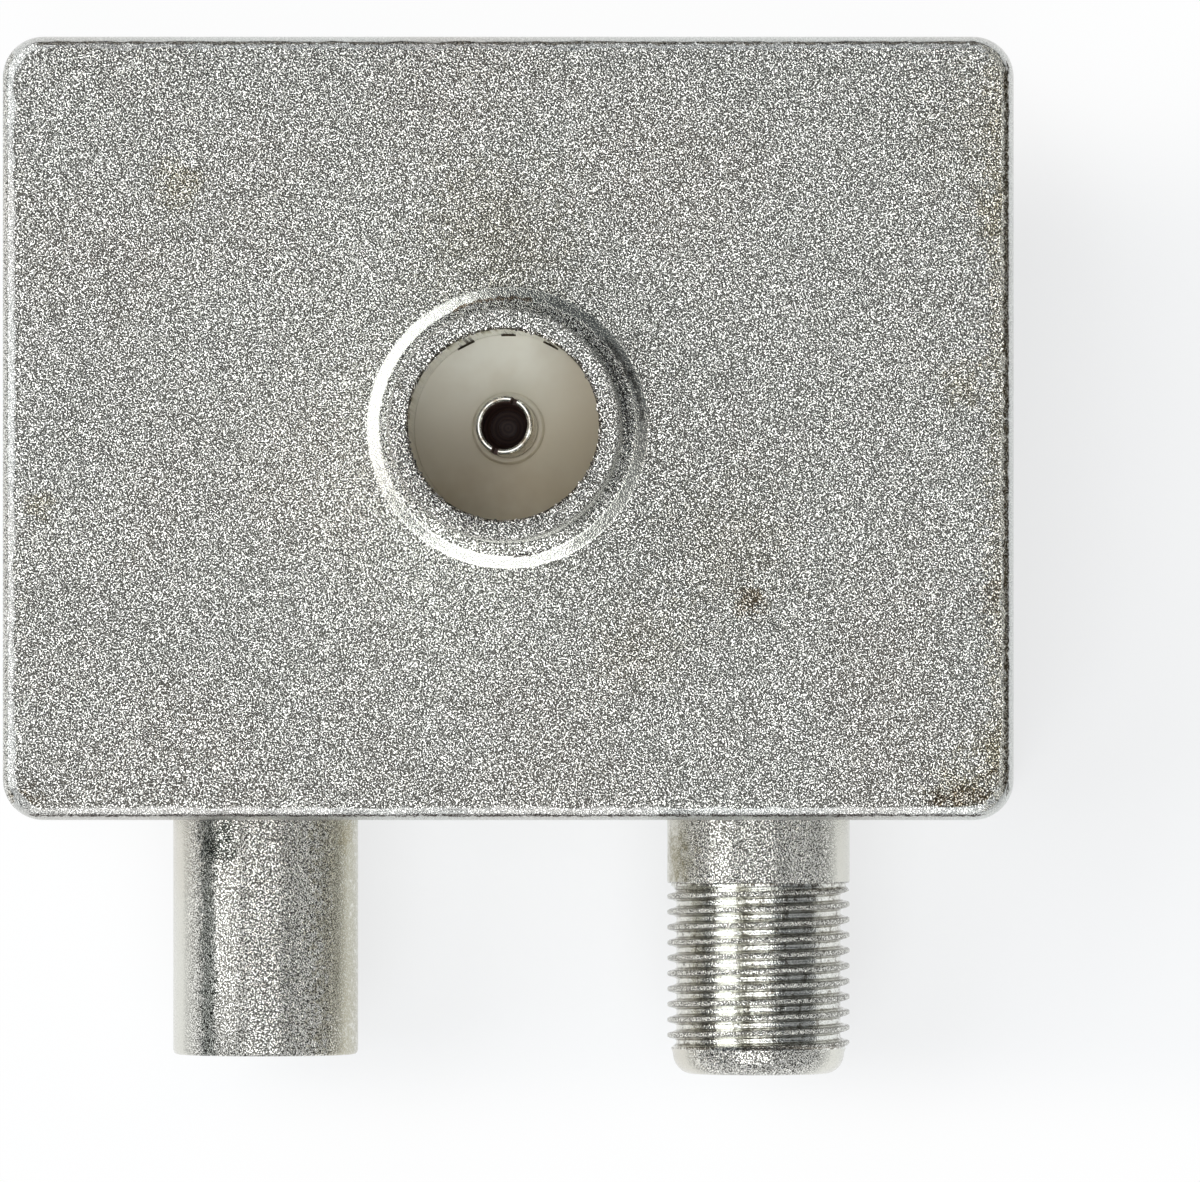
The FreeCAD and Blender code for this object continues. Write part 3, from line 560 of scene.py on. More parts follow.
def from_plane(tree, where, axis, level):
    """How far a place lies from a plane across one axis."""
    return apart(tree, along_axis(tree, where, axis), level)


def from_edge(tree, where, axis, level):
    """How far a place lies from a line along the edge of the face."""
    below_face = sums(tree, "SUBTRACT", from_plane(tree, where, "Z", face_level), 0.3 * MM)
    return sums(tree, "MAXIMUM", from_plane(tree, where, axis, level), below_face)


from_front = (1.0, 1.0, 0.0)
from_below = (1.0, 0.0, 1.0)


def off_middle(tree, where, middle, plane):
    """How far a place lies from a middle point, as seen from the front or from below."""
    away = add(tree, "ShaderNodeVectorMath", {0: where, 1: middle}, operation="SUBTRACT")
    flat = add(tree, "ShaderNodeVectorMath", {0: away.outputs[0], 1: plane}, operation="MULTIPLY")
    return add(tree, "ShaderNodeVectorMath", {0: flat.outputs[0]}, operation="LENGTH").outputs["Value"]


def from_ring(tree, where, radius):
    """How far a place lies from a circle about the socket's axis."""
    return apart(tree, off_middle(tree, where, (0.0, 0.0, 0.0), from_front), radius)


def from_arc(tree, where, radius, degrees, reach):
    """How far a place lies from a piece of a circle about the socket's axis."""
    heading = math.radians(degrees)
    middle = (radius * math.cos(heading), radius * math.sin(heading), 0.0)
    past_end = sums(tree, "SUBTRACT", off_middle(tree, where, middle, from_front), reach)
    return sums(tree, "MAXIMUM", from_ring(tree, where, radius), past_end)


def from_barrel(tree, where, radius):
    """How far a place lies from a barrel about the port's axis. A strip down its left side counts as far.
    """
    from_axis = off_middle(tree, where, (port_x, 0.0, port_level), from_below)
    strip_middle = port_x - 1.5 * MM
    strip_reach = 0.8 * MM
    inside_strip = sums(tree, "SUBTRACT", strip_reach, from_plane(tree, where, "X", strip_middle))
    return sums(tree, "MAXIMUM", apart(tree, from_axis, radius), inside_strip)


# two tones of the plate in each pair, which the skins below mix in clouds
cool_plate = ((0.73, 0.742, 0.68), (0.70, 0.675, 0.607))
warm_plate = ((0.73, 0.73, 0.67), (0.69, 0.67, 0.60))
bright_plate = ((0.84, 0.85, 0.81), (0.79, 0.78, 0.72))
pale_plate = ((0.74, 0.76, 0.74), (0.69, 0.68, 0.65))


def nickel_skin(name, painted_grain_share, bump_reach, sheen, tones, stains_and_shade=(), lines=(), side_share=None,
                ridges=0.0):
    """Plated metal: how much the grain's painted glints and shade show, its relief, the roughness, and the
    plate's tones, dirt and painted shade.

    With a side share, the grain's painted glints and shade fade to it below the top of the ports. Ridges
    adds fine turning marks.
    """
    made, tree, shader, where = new_material(name)
    grain = add(tree, "ShaderNodeGroup", {"Position": where}, node_tree=grain_tree)
    tone = grain.outputs["Tone"]
    warm = clouds(tree, where, 90.0, 3.0)
    plate = blend(tree, ramp(tree, warm, 0.4, 0.68), *tones)
    # painted glints and shade: the grain's crests go near white and its pits near black
    painted_glint_crests = blend(tree, ramp(tree, tone, 0.46, 0.74), plate, (0.98, 0.975, 0.94))
    painted_glint_and_shade_grain = blend(tree, ramp(tree, tone, 0.54, 0.2), painted_glint_crests, (0.02, 0.018, 0.014))
    bump_strength = 1.0
    if side_share is not None:
        above_axis = sums(tree, "SUBTRACT", along_axis(tree, where, "Z"), port_level)
        painted_grain_share = ramp(tree, above_axis, 2.4 * MM, 3.6 * MM, side_share, painted_grain_share)
        bump_strength = ramp(tree, above_axis, 2.0 * MM, 3.4 * MM, 0.2, 1.0)
    colour = blend(tree, painted_grain_share, plate, painted_glint_and_shade_grain)
    low_ground = ramp(tree, tone, 0.9, 0.5, 0.3, 1.0)
    dirt_and_shade = []
    for middle, radius, strength, tint in stains_and_shade:
        spot = add(tree, "ShaderNodeGroup", {
            "Position": where, "Centre": Vector(middle) * MM, "Radius": radius * MM}, node_tree=stain_and_shade_tree)
        dirt_and_shade.append((spot.outputs["Mask"], strength, tint))
    for measure, settings, reach, strength, tint in lines:
        line = add(tree, "ShaderNodeGroup", {
            "Distance": measure(tree, where, *settings), "Position": where, "Reach": reach},
            node_tree=line_tree)
        dirt_and_shade.append((line.outputs["Mask"], strength, tint))
    for mask, strength, tint in dirt_and_shade:
        dirt_and_shade_here = sums(tree, "MULTIPLY", sums(tree, "MULTIPLY", mask, strength), low_ground)
        colour = blend(tree, dirt_and_shade_here, colour, tint, "MULTIPLY")
    tree.links.new(colour, shader.inputs["Base Color"])
    shader.inputs["Metallic"].default_value = 1.0
    gloss = ramp(tree, grain.outputs["Fine"], 0.3, 0.7, sheen * 0.8, sheen * 1.25)
    tree.links.new(gloss, shader.inputs["Roughness"])
    relief = add(tree, "ShaderNodeBump", {
        "Height": grain.outputs["Height"], "Strength": bump_strength, "Distance": bump_reach})
    if ridges:
        marks = add(tree, "ShaderNodeTexWave", {
            "Vector": where, "Scale": 2100.0, "Distortion": 1.2, "Detail": 1.0, "Detail Scale": 2.0,
        }, bands_direction="Y")
        relief = add(tree, "ShaderNodeBump", {
            "Height": marks.outputs["Fac"],
            "Strength": 1.0,
            "Distance": ridges,
            "Normal": relief.outputs[0],
        })
    tree.links.new(relief.outputs[0], shader.inputs["Normal"])
    return made


tan = (0.78, 0.72, 0.56)
brown = (0.4, 0.31, 0.2)
rust = (0.26, 0.19, 0.11)
near_black = (0.06, 0.05, 0.045)
dimming_tint = (0.82, 0.78, 0.7)
face_stains_and_shade = [  # middle and radius in millimetres, strength and tint
    # the first darkening is painted shade, the socket tube's shadow on the face above it; the next three
    # are broad darker patches
    ((-0.5, 9.8, 15.5), 5.5, 0.8, dimming_tint),
    ((11.5, -6.2, 15.5), 5.0, 0.6, dimming_tint),
    ((7.0, -11.0, 15.5), 3.5, 0.6, dimming_tint),
    ((25.0, 15.0, 15.5), 5.0, 0.7, dimming_tint),
    ((-16.7, 12.4, 15.5), 1.7, 0.8, tan),
    ((23.2, 2.2, 15.5), 1.5, 0.7, tan),
    ((23.2, -18.3, 15.5), 2.2, 0.9, tan),
    ((25.0, -16.4, 15.5), 1.9, 0.9, tan),
    ((21.9, -19.1, 15.5), 0.9, 1.0, rust),
    ((23.0, -18.9, 15.5), 1.0, 1.0, rust),
    ((24.1, -18.7, 15.5), 1.0, 1.0, rust),
    ((25.2, -17.6, 15.5), 0.9, 1.0, rust),
    ((-23.8, -3.9, 15.5), 1.0, 0.8, tan),
    ((12.3, -8.8, 15.5), 1.1, 0.9, brown),
    ((25.0, 10.5, 15.4), 2.2, 0.6, tan),
    ((25.2, -8.5, 15.4), 1.6, 0.7, brown),
    ((-24.6, -18.9, 15.4), 1.1, 0.8, brown),
]
boss_lines = [  # what the distance is measured from, its settings, reach, strength and tint
    (from_arc, (6.6 * MM, 97, 2.0 * MM), 0.1 * MM, 0.95, (0.2, 0.14, 0.09)),
    (from_arc, (6.55 * MM, -79, 0.9 * MM), 0.08 * MM, 0.95, near_black),
    (from_arc, (6.1 * MM, 20, 2.5 * MM), 0.05 * MM, 0.8, near_black),
    # painted shade: these two grey arcs are the dark crescent on the boss's right flank
    (from_arc, (6.7 * MM, 32, 1.1 * MM), 0.16 * MM, 0.85, (0.2, 0.19, 0.18)),
    (from_arc, (6.85 * MM, 14, 1.2 * MM), 0.12 * MM, 0.85, (0.2, 0.19, 0.18)),
]
# a brown ring round the bore's edge: the plating's ragged edge, and painted shade from the deep bore
bore_mark_and_shade_lines = [(from_ring, (socket_bore + 0.03 * MM,), 0.12 * MM, 0.85, (0.25, 0.2, 0.15))]
right_edge = half_width - edge_inset
upper_edge = half_height - edge_inset
# painted shade: darker bands along the right and top edges of the face, where the rounded edge turns away
# from the lamps
edge_shade_lines = [
    (from_edge, ("X", right_edge - 0.5 * MM), 0.9 * MM, 0.6, (0.8, 0.74, 0.6)),
    (from_edge, ("X", right_edge - 0.37 * MM), 0.15 * MM, 1.0, (0.1, 0.08, 0.05)),
    (from_edge, ("Y", upper_edge - 0.34 * MM), 0.1 * MM, 0.9, (0.17, 0.14, 0.1)),
]
strip_lines = [
    (from_edge, ("X", right_edge - 0.31 * MM), 0.06 * MM, 1.0, (0.05, 0.04, 0.03)),
    (from_edge, ("X", right_edge - 0.03 * MM), 0.03 * MM, 1.0, (0.1, 0.1, 0.11)),
    (from_edge, ("Y", -upper_edge + 0.25 * MM), 0.07 * MM, 1.0, (0.08, 0.06, 0.05)),
]
crest_lines = [
    (from_barrel, (port_radius - 0.13 * MM,), 0.08 * MM, 0.85, (0.14, 0.11, 0.07)),
    (from_barrel, (port_radius - 0.38 * MM,), 0.07 * MM, 0.8, (0.16, 0.13, 0.08)),
    # painted shade: a dull band down the port's middle dims its highlight
    (from_plane, ("X", port_x - 0.7 * MM), 0.45 * MM, 0.85, (0.42, 0.41, 0.36)),
]
dark_green = (0.1, 0.13, 0.11)
shell_stains = [
    ((-14.9, -21.2, 11.9), 1.7, 1.0, dark_green),
    ((-8.6, -20.9, 9.8), 1.2, 0.6, tan),
    ((8.7, -22.0, 9.6), 2.2, 1.0, (0.42, 0.39, 0.27)),
]
shell_reflection_lines = [
    # painted reflections: a dark line where the plug's left side reflects the dark horizon, and an olive
    # band where its right side reflects the shaded floor
    (from_plane, ("X", plug_x - 2.75 * MM), 0.42 * MM, 0.8, dark_green),
    (from_plane, ("X", plug_x + 3.95 * MM), 1.3 * MM, 0.8, (0.62, 0.59, 0.48)),
]
face_lines = bore_mark_and_shade_lines + boss_lines + edge_shade_lines
cast_skin = nickel_skin("nickel_cast_skin", 0.9, 0.036 * MM, 0.15, cool_plate, face_stains_and_shade, face_lines)
strip_skin = nickel_skin("nickel_edge_strip", 0.2, 0.014 * MM, 0.28, pale_plate, (), strip_lines)
shell_skin = nickel_skin("nickel_shell_skin", 0.88, 0.034 * MM, 0.16, warm_plate, shell_stains, shell_reflection_lines,
                         side_share=0.05)
thread_skin = nickel_skin("nickel_thread", 0.2, 0.006 * MM, 0.07, bright_plate, (), crest_lines,
                          ridges=0.006 * MM)
flank_skin = nickel_skin("nickel_flank", 0.26, 0.01 * MM, 0.17, cool_plate, (), boss_lines)
bore_skin = nickel_skin("nickel_bore", 0.08, 0.002 * MM, 0.07, cool_plate)
crest_skin = nickel_skin("nickel_thread_crest", 0.7, 0.03 * MM, 0.15, warm_plate, (), crest_lines)
chamfer_skin = nickel_skin("nickel_chamfer", 0.45, 0.03 * MM, 0.18, pale_plate, (), edge_shade_lines)

# the threaded port: collar, thread and rounded tip sewn into one closed barrel
thread_mesh = run_tree("thread", helix, {"Material": thread_skin})
port_body = skin("port_body", [port_ring(port_x, radius, distance) for radius, distance in [
    (port_radius, port_root),
    (port_radius, 1.0 * MM),
    (port_radius, collar_end),
    (port_radius - 0.04 * MM, collar_end + 0.06 * MM),
    (relief_radius, collar_end + 0.1 * MM),
    (relief_radius, thread_start),
]], "open")
tip_radius = 4.42 * MM
tip_round = 1.0 * MM
tip_height = 1.1 * MM
tip_steps = 8
tip_rings = [(relief_radius, thread_end), (tip_radius, port_length - tip_height)]
for step in range(1, tip_steps + 1):
    turn = step / tip_steps * math.pi / 2
    tip_rings.append((tip_radius - tip_round * (1 - math.cos(turn)),
                      port_length - tip_height * (1 - math.sin(turn))))
port_tip = skin("port_tip", [port_ring(port_x, radius, distance) for radius, distance in tip_rings], "open")
port_shape = bmesh.new()
for part in (port_body, thread_mesh, port_tip):
    port_shape.from_mesh(part)
bmesh.ops.remove_doubles(port_shape, verts=port_shape.verts, dist=merge_distance)
open_edges = [edge for edge in port_shape.edges if edge.is_boundary]
bmesh.ops.holes_fill(port_shape, edges=open_edges, sides=0)
bmesh.ops.recalc_face_normals(port_shape, faces=port_shape.faces)
port_mesh = bpy.data.meshes.new("threaded_port")
port_shape.to_mesh(port_mesh)
port_shape.free()
threaded_port = place("threaded_port", port_mesh)

# four lugs inside, which the circuit board lies against: each is sunk a little into the walls
lug = 4.0 * MM
lug_y = 13.2 * MM
sunk = 0.3 * MM
board_top = 7.0 * MM
lug_drop = face_level - front_wall - board_top
lugs = []
for side_x in (-1, 1):
    for side_y in (-1, 1):
        middle = Vector((side_x * (half_width - side_wall - lug / 2 + sunk), side_y * lug_y,
                         board_top + lug_drop / 2 + sunk))
        lugs.append(block("lug", middle, (lug + 2 * sunk, lug, lug_drop + 2 * sunk)))
combine(housing, "UNION", [plug_shell, threaded_port] + lugs)
combine(housing, "DIFFERENCE", [plug_cutter, port_cutter])
close_up(housing.data)

# the finish of each face comes from its place, and a hair is the slack in those tests
finishes = (cast_skin, strip_skin, shell_skin, thread_skin, flank_skin, bore_skin, crest_skin, chamfer_skin)
hair = 0.02 * MM
outside_boss = 14.0 * MM


def finish_of(face):
    """The finish that covers a face of the housing."""
    centre = face.center
    beyond = -half_height - centre.y
    from_port_axis = math.hypot(abs(centre.x) - port_x, centre.z - port_level)
    on_shell = from_port_axis < plug_radius + hair and abs(face.normal.y) < 0.5
    if beyond > hair / 2 or (on_shell and beyond > -0.3 * MM):
        if centre.x < 0 or not collar_end + hair < beyond < thread_end:
            return shell_skin
        return crest_skin if from_port_axis > port_radius - 0.11 * MM else thread_skin
    from_axis = math.hypot(centre.x, centre.y)
    if boss_top - hair < from_axis < boss_foot + hair:
        return flank_skin
    in_bore = from_axis < socket_bore + hair / 2 and centre.z < rim_level - 0.1 * MM
    on_tube = tube_radius - 0.04 * MM < from_axis < tube_radius + 0.05 * MM
    if in_bore or on_tube:
        return bore_skin
    if side_top < centre.z < face_level - 0.001 * MM and from_axis > outside_boss:
        if centre.z >= chamfer_level:
            return chamfer_skin
        return cast_skin if centre.x < -right_edge + 0.6 * MM else strip_skin
    return cast_skin


def finish_piece(piece, body_name, slot_name, *nodes, crease=32):
    """Smooth the piece up to its creases, hang it on its body's empty, and hide the CAD nodes that it
    replaces.
    """
    piece.data.shade_smooth()
    piece.data.set_sharp_from_angle(angle=math.radians(crease))
    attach(piece, body_name)
    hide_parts(*nodes)


housing.data.materials.clear()
for finish in finishes:
    housing.data.materials.append(finish)
for face in housing.data.polygons:
    face.material_index = finishes.index(finish_of(face))
finish_piece(housing, "root", "cast_zinc", "housing")

# Plastic insulators
# Two moulded discs and a sleeve of off-white plastic that hold the contacts, with painted shade that browns
# them low and right.
# Each is turned to its outline here and lies against the ledge in its shell's bore.
plastic, tree, shader, where = new_material("off_white_plastic")
mottle = ramp(tree, clouds(tree, where, 420.0, 3.0, 0.6), 0.3, 0.72)
# painted shade: lighter towards the top and darker and browner towards the bottom, as light falls into the
# socket's bore
upward = ramp(tree, along_axis(tree, where, "Y"), -3.6 * MM, 4.8 * MM)
painted_light_by_height = blend(tree, upward, (0.6, 0.5, 0.36), (1.0, 0.98, 0.89))
tone = blend(tree, sums(tree, "MULTIPLY", mottle, 0.45), painted_light_by_height, (0.78, 0.71, 0.58))
# painted shade: darker and browner towards the right
rightward = ramp(tree, along_axis(tree, where, "X"), 0.5 * MM, 4.6 * MM)
tone = blend(tree, sums(tree, "MULTIPLY", rightward, 0.75), tone, (0.5, 0.42, 0.3))
tree.links.new(tone, shader.inputs["Base Color"])
gloss = ramp(tree, clouds(tree, where, 2500.0), 0.3, 0.7, 0.38, 0.52)
tree.links.new(gloss, shader.inputs["Roughness"])
relief = add(tree, "ShaderNodeBump", {
    "Height": clouds(tree, where, 1500.0), "Strength": 1.0, "Distance": 0.006 * MM})
tree.links.new(relief.outputs[0], shader.inputs["Normal"])

# the socket's disc, with a collar round the contact and notches in its edge
disc_back = 12.4 * MM
disc_face = 14.2 * MM
collar_radius = 1.8 * MM
collar_top = 14.7 * MM
tail_radius = 0.5 * MM
tail_top = 13.0 * MM
contact_radius = 1.5 * MM
socket_disc = place("socket_insulator_disc", turned("socket_disc", None, [
    (tail_radius, disc_back),
    (socket_bore, disc_back),
    (socket_bore, disc_face - 0.01 * MM),
    (socket_bore - 0.01 * MM, disc_face),
    (collar_radius + 0.22 * MM, disc_face),
    (collar_radius + 0.06 * MM, disc_face + 0.05 * MM),
    (collar_radius, disc_face + 0.2 * MM),
    (collar_radius - 0.01 * MM, collar_top - 0.08 * MM),
    (collar_radius - 0.08 * MM, collar_top),
    (contact_radius + 0.07 * MM, collar_top),
    (contact_radius + 0.01 * MM, collar_top - 0.04 * MM),
    (contact_radius + 0.01 * MM, tail_top),
    (tail_radius, tail_top),
], "joined"))
notch_radius = 4.86 * MM
notch_depth = 0.3 * MM
notch_height = 1.2 * MM
notches = []
for degrees, width in ((117, 0.95), (90, 0.75), (63, 0.85), (5, 0.35), (270, 0.35)):
    heading = math.radians(degrees)
    middle = Vector((notch_radius * math.cos(heading), notch_radius * math.sin(heading), disc_face))
    notches.append(block("notch", middle, (notch_depth, width * MM, notch_height), heading))
combine(socket_disc, "DIFFERENCE", notches)

# dirt and painted shade darken the notches
dirt_and_shade, tree, shader, where = new_material("notch_dirt_and_shade")
clods = ramp(tree, clouds(tree, where, 2400.0, 3.0, 0.6), 0.35, 0.65)
tree.links.new(blend(tree, clods, (0.14, 0.09, 0.05), (0.34, 0.24, 0.15)), shader.inputs["Base Color"])
tree.links.new(ramp(tree, clods, 0.0, 1.0, 0.6, 0.8), shader.inputs["Roughness"])

# the plug's disc round the pin's flange, and the port's sleeve, whose funnel leads a wire in
pin_tail = 0.75 * MM
flange_radius = 1.6 * MM
flange_back = 1.7 * MM
flange_front = 3.3 * MM
plug_disc = place("plug_insulator_disc", turned("plug_disc", plug_x, [
    (pin_tail, plug_ledge),
    (plug_bore, plug_ledge),
    (plug_bore, flange_front - 0.08 * MM),
    (plug_bore - 0.08 * MM, flange_front),
    (flange_radius + 0.06 * MM, flange_front),
    (flange_radius, flange_front - 0.06 * MM),
    (flange_radius, flange_back),
    (pin_tail, flange_back),
], "joined"))
sleeve_bore = 1.4 * MM
sleeve_front = 12.4 * MM
funnel_radius = 1.26 * MM
wire_hole = 0.6 * MM
hole_back = 11.0 * MM
port_sleeve = place("f_insulator_sleeve", turned("port_sleeve", port_x, [
    (sleeve_bore, port_ledge),
    (port_bore, port_ledge),
    (port_bore, sleeve_front - 0.1 * MM),
    (port_bore - 0.08 * MM, sleeve_front),
    (funnel_radius + 0.1 * MM, sleeve_front),
    (funnel_radius, sleeve_front - 0.04 * MM),
    (wire_hole + 0.03 * MM, sleeve_front - 0.66 * MM),
    (wire_hole, sleeve_front - 0.74 * MM),
    (wire_hole, hole_back),
    (sleeve_bore, hole_back),
], "joined"))
insulators = {"socket_insulator": socket_disc, "plug_insulator": plug_disc, "f_insulator": port_sleeve}
for node, piece in insulators.items():
    piece.data.materials.clear()
    piece.data.materials.append(plastic)
    piece.data.materials.append(dirt_and_shade)
    for face in piece.data.polygons:
        from_axis = math.hypot(face.center.x, face.center.y)
        inside_edge = from_axis < socket_bore - 0.01 * MM
        below_face = disc_face - notch_height / 2 - 0.1 * MM < face.center.z < disc_face - hair
        face.material_index = 1 if piece == socket_disc and inside_edge and below_face else 0
    finish_piece(piece, "root", "white_plastic", node)

# Contacts
# The socket's slotted tube and the plug's pin are turned from brass, and the port's clip is folded.
# All three are nickel plated and sit in their insulators, with tails that reach the board.
bright, tree, shader, where = new_material("plated_brass")
spots = ramp(tree, clouds(tree, where, 1800.0, 3.0, 0.6), 0.4, 0.7)
tree.links.new(blend(tree, spots, (0.78, 0.77, 0.72), (0.42, 0.36, 0.27)), shader.inputs["Base Color"])
shader.inputs["Metallic"].default_value = 1.0
tree.links.new(ramp(tree, spots, 0.0, 1.0, 0.16, 0.34), shader.inputs["Roughness"])
relief = add(tree, "ShaderNodeBump", {
    "Height": clouds(tree, where, 4000.0), "Strength": 1.0, "Distance": 0.01 * MM})
tree.links.new(relief.outputs[0], shader.inputs["Normal"])
# painted shade: the contact's bore and slot are dark brown, with turning rings
painted_shade_inside, tree, shader, where = new_material("contact_bore_painted_shade")
rings = add(tree, "ShaderNodeTexWave", {"Vector": where, "Scale": 1500.0, "Distortion": 1.0},
            wave_type="RINGS", rings_direction="Z")
ringed = blend(tree, rings.outputs["Fac"], (0.075, 0.036, 0.028), (0.13, 0.070, 0.055))
tree.links.new(ringed, shader.inputs["Base Color"])
tree.links.new(ramp(tree, clouds(tree, where, 3000.0), 0.3, 0.7, 0.42, 0.6), shader.inputs["Roughness"])

# the socket's tube: a slot across its mouth parts it into two springs, bent in a little at their ends
by_axis = 0.02 * MM
tail_end = 4.6 * MM
bend_level = 17.0 * MM
mid_spring = 19.4 * MM
mouth = 21.7 * MM
contact_bore = 1.2 * MM
bore_floor = 14.7 * MM
contact = place("socket_contact_tube", turned("contact", None, [
    (by_axis, tail_end),
    (tail_radius - 0.04 * MM, tail_end),
    (tail_radius, tail_end + 0.05 * MM),
    (tail_radius, tail_top),
    (contact_radius, tail_top),
    (contact_radius, bend_level),
    (contact_radius, mid_spring),
    (contact_radius, mouth - 0.2 * MM),
    (contact_radius - 0.04 * MM, mouth - 0.06 * MM),
    (contact_radius - 0.12 * MM, mouth),
    (contact_bore + 0.11 * MM, mouth),
    (contact_bore + 0.02 * MM, mouth - 0.08 * MM),
    (contact_bore, mouth - 0.25 * MM),
    (contact_bore, mid_spring),
    (contact_bore, bend_level),
    (contact_bore, bore_floor + 0.5 * MM),
    (0.9 * MM, bore_floor + 0.3 * MM),
    (0.88 * MM, bore_floor + 0.15 * MM),
    (0.5 * MM, bore_floor + 0.05 * MM),
    (0.48 * MM, bore_floor),
    (by_axis, bore_floor),
]))
slot_heading = math.radians(69)
slot_width = 0.34 * MM
slot_floor = 16.7 * MM
slot_height = 6.0 * MM
slot_middle = Vector((0, 0, slot_floor + slot_height / 2))
slot_cutter = block("slot_cutter", slot_middle, (3 * contact_radius, slot_width, slot_height), slot_heading)
combine(contact, "DIFFERENCE", [slot_cutter])
across_slot = Vector((-math.sin(slot_heading), math.cos(slot_heading), 0))
bend_share = 0.045
for point in contact.data.vertices:
    squeeze = max(0.0, (point.co.z - bend_level) / (mouth - bend_level)) ** 2
    point.co -= across_slot * point.co.dot(across_slot) * bend_share * squeeze
contact.data.materials.clear()
contact.data.materials.append(bright)
contact.data.materials.append(painted_shade_inside)
for face in contact.data.polygons:
    from_axis = math.hypot(face.center.x, face.center.y)
    from_slot = abs(face.center.dot(across_slot))
    in_slot = from_slot < slot_width / 2 + 0.005 * MM and face.center.z > slot_floor - 0.1 * MM
    in_depth = bore_floor - 0.1 * MM < face.center.z < mouth - 0.2 * MM
    in_bore = from_axis < contact_bore + 0.015 * MM and in_depth
    face.material_index = 1 if in_slot or in_bore else 0
finish_piece(contact, "root", "plated_contact", "socket_contact")

# the plug's pin: a tail on the board, a flange in the insulator and a rounded tip
pin_end = -6.6 * MM
pin_radius = 1.19 * MM
pin_tip = 11.6 * MM
pin = place("plug_centre_pin", turned("pin", plug_x, [
    (by_axis, pin_end),
    (pin_tail - 0.05 * MM, pin_end),
    (pin_tail, pin_end + 0.05 * MM),
    (pin_tail, flange_back),
    (flange_radius, flange_back),
    (flange_radius, flange_front),
    (pin_radius, flange_front),
    (pin_radius, pin_tip - 0.9 * MM),
    (1.12 * MM, pin_tip - 0.6 * MM),
    (0.98 * MM, pin_tip - 0.35 * MM),
    (0.78 * MM, pin_tip - 0.15 * MM),
    (0.5 * MM, pin_tip - 0.03 * MM),
    (0.2 * MM, pin_tip),
    (by_axis, pin_tip),
]))
pin.data.materials.append(bright)
finish_piece(pin, "root", "plated_contact", "plug_pin")


def dress(material, *nodes):
    """Put a material on the CAD meshes of some nodes."""
    for node in nodes:
        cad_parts[node].data.materials.clear()
        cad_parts[node].data.materials.append(material)


dress(bright, "f_contact")

# Rear cover
# A plate pressed from tinned steel, with faint rolling marks.
# It is let in flush with the rim at the back of the box.
tin, tree, shader, where = new_material("tinned_steel")
stretch = add(tree, "ShaderNodeMapping", {"Vector": where, "Scale": (40.0, 1500.0, 40.0)})
streaks = clouds(tree, stretch.outputs[0], 1.0, 4.0, 0.6)
tree.links.new(blend(tree, streaks, (0.62, 0.62, 0.60), (0.74, 0.74, 0.72)), shader.inputs["Base Color"])
shader.inputs["Metallic"].default_value = 1.0
tree.links.new(ramp(tree, streaks, 0.3, 0.7, 0.24, 0.36), shader.inputs["Roughness"])
relief = add(tree, "ShaderNodeBump", {"Height": streaks, "Strength": 1.0, "Distance": 0.002 * MM})
tree.links.new(relief.outputs[0], shader.inputs["Normal"])
dress(tin, "rear_cover")

# Circuit board and its parts
# A brown laminate board that lies against the lugs, soldered to the side walls. It carries two ferrite
# cores with copper windings and four chip parts, and the contacts' tails are soldered to it.


def plain_part(name, light, dark, scale, roughness, metallic=0.0):
    """A mottled material for the parts on the board."""
    made, tree, shader, where = new_material(name)
    patches = clouds(tree, where, scale, 4.0, 0.6)
    tree.links.new(blend(tree, ramp(tree, patches, 0.35, 0.65), light, dark), shader.inputs["Base Color"])
    shader.inputs["Metallic"].default_value = metallic
    gloss = ramp(tree, patches, 0.3, 0.7, roughness * 0.85, roughness * 1.15)
    tree.links.new(gloss, shader.inputs["Roughness"])
    return made


dress(plain_part("brown_laminate", (0.48, 0.31, 0.13), (0.38, 0.24, 0.10), 900.0, 0.55), "circuit_board")
dress(plain_part("ferrite", (0.09, 0.09, 0.09), (0.05, 0.05, 0.05), 2500.0, 0.6),
      "matching_core", "splitting_core")
dress(plain_part("enamelled_copper", (0.62, 0.25, 0.10), (0.5, 0.18, 0.07), 2000.0, 0.3, 1.0),
      "matching_winding", "splitting_winding")
dress(plain_part("chip_ceramic", (0.46, 0.37, 0.26), (0.38, 0.30, 0.21), 1500.0, 0.5),
      "socket_capacitor", "plug_capacitor", "f_capacitor")
dress(plain_part("chip_black", (0.03, 0.03, 0.03), (0.06, 0.06, 0.06), 1500.0, 0.4), "balance_resistor")
dress(plain_part("solder", (0.66, 0.66, 0.64), (0.52, 0.52, 0.50), 1200.0, 0.3, 1.0),
      "plug_joint", "f_joint", "socket_joint", "ground_joints")

# Floor, lights and camera
# A plain white floor under the box. Soft lights hang at its left, at its lower edge and above it, with
# a weak fill at its right, and a long lens looks straight down.
floor_reach = 3.0
floor_level = -0.02 * MM
floor_corners = [(side_x * floor_reach, side_y * floor_reach, floor_level)
                 for side_x, side_y in ((-1, -1), (1, -1), (1, 1), (-1, 1))]
floor_mesh = bpy.data.meshes.new("floor")
floor_mesh.from_pydata(floor_corners, [], [(0, 1, 2, 3)])
floor = place("floor", floor_mesh)
paper, tree, shader, where = new_material("white_paper")
white = blend(tree, clouds(tree, where, 40.0), (0.88, 0.92, 0.95), (0.90, 0.93, 0.96))
tree.links.new(white, shader.inputs["Base Color"])
shader.inputs["Roughness"].default_value = 0.9

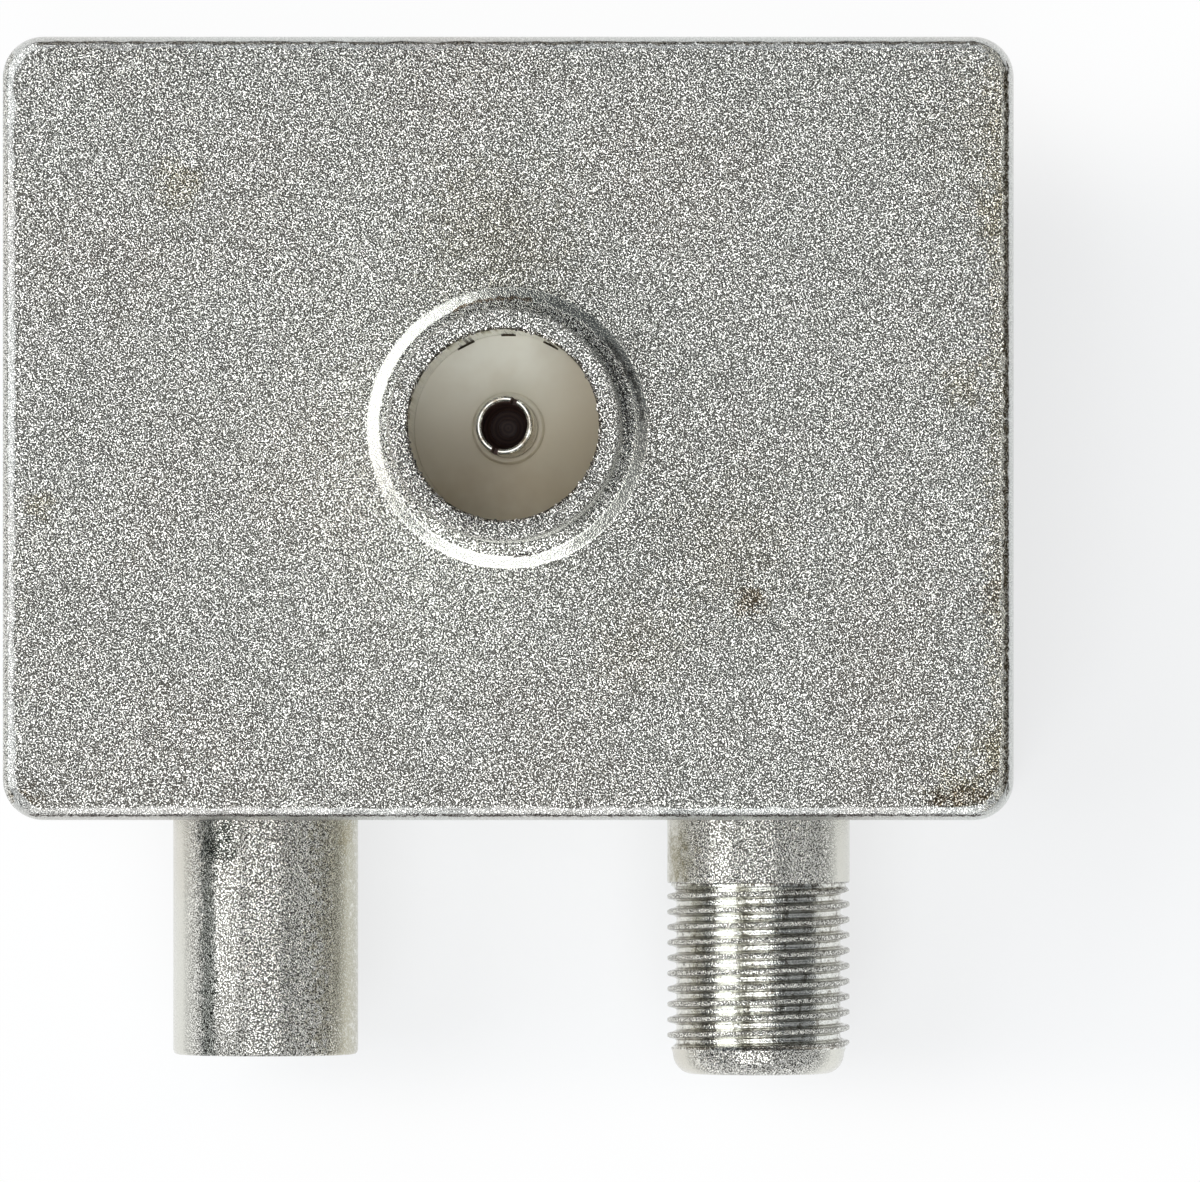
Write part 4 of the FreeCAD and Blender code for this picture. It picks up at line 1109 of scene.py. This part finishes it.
# the paper glows a little where it is seen, straight or in the metal: less near the ports than beyond
near_glow = 0.68
open_glow = 0.95
spot = add(tree, "ShaderNodeSeparateXYZ", {0: where})
glow = add(tree, "ShaderNodeEmission", {"Color": (1.0, 1.0, 1.0, 1.0), "Strength": 1.0})
seen = add(tree, "ShaderNodeLightPath")
direct = sums(tree, "MAXIMUM", seen.outputs["Is Camera Ray"], seen.outputs["Is Glossy Ray"])
above = ramp(tree, spot.outputs["Y"], 6.0 * MM, 23.0 * MM)
below = ramp(tree, spot.outputs["Y"], -30.0 * MM, -38.5 * MM)
leftward = ramp(tree, spot.outputs["X"], -4.0 * MM, -28.0 * MM)
open_floor = sums(tree, "MAXIMUM", leftward, sums(tree, "MAXIMUM", above, below))
share = sums(tree, "MULTIPLY", direct, ramp(tree, open_floor, 0.0, 1.0, near_glow, open_glow))
mixed = add(tree, "ShaderNodeMixShader", {0: share, 1: shader.outputs[0], 2: glow.outputs[0]})
output = next(node for node in tree.nodes if node.type == "OUTPUT_MATERIAL")
tree.links.new(mixed.outputs[0], output.inputs["Surface"])
floor_mesh.materials.append(paper)


def soft_light(name, azimuth, from_vertical, distance, width, height, power):
    """A flat lamp that faces the box, its width level and its height up and down the slope.

    Its heading and its angle from the vertical are in degrees, its distance and size in metres.
    """
    lamp = bpy.data.lights.new(name, "AREA")
    lamp.shape = "RECTANGLE"
    lamp.size = width
    lamp.size_y = height
    lamp.energy = power
    holder = bpy.data.objects.new(name, lamp)
    tilt = math.radians(from_vertical)
    heading = math.radians(azimuth)
    direction = Vector((
        math.cos(heading) * math.sin(tilt),
        math.sin(heading) * math.sin(tilt),
        math.cos(tilt),
    ))
    holder.location = direction * distance
    holder.rotation_euler = direction.to_track_quat("Z", "Y").to_euler()
    bpy.context.scene.collection.objects.link(holder)


soft_light("left_softbox", 155, 44, 1.0, 1.3, 0.56, 6.5)
soft_light("lower_softbox", 264, 36, 1.0, 0.76, 0.56, 4.0)
soft_light("top_softbox", 270, 8, 1.2, 0.9, 0.8, 3.7)
soft_light("right_fill", 335, 58, 1.2, 1.2, 0.9, 0.72)

world = bpy.data.worlds.new("studio")
world.use_nodes = True
backdrop = world.node_tree.nodes["Background"]
backdrop.inputs["Color"].default_value = (0.86, 0.93, 1.0, 1.0)
backdrop.inputs["Strength"].default_value = 0.1
bpy.context.scene.world = world

# The camera hangs over a point right of and below the socket, and its frame is shifted back to the box
picture_width = 1200
picture_height = 1182
lens_in_pixels = 12304
camera_spot = Vector((18.1 * MM, -13.8 * MM, 642 * MM))
spot_in_picture = (863.2, 699.0)
camera = bpy.data.cameras.new("camera")
camera.sensor_width = 36
camera.lens = lens_in_pixels / picture_width * camera.sensor_width
camera.shift_x = (picture_width / 2 - spot_in_picture[0]) / picture_width
camera.shift_y = (spot_in_picture[1] - picture_height / 2) / picture_width
camera.clip_start = 0.01
camera_holder = bpy.data.objects.new("camera", camera)
camera_holder.location = camera_spot
bpy.context.scene.collection.objects.link(camera_holder)
bpy.context.scene.camera = camera_holder
bpy.context.scene.view_settings.view_transform = "Standard"
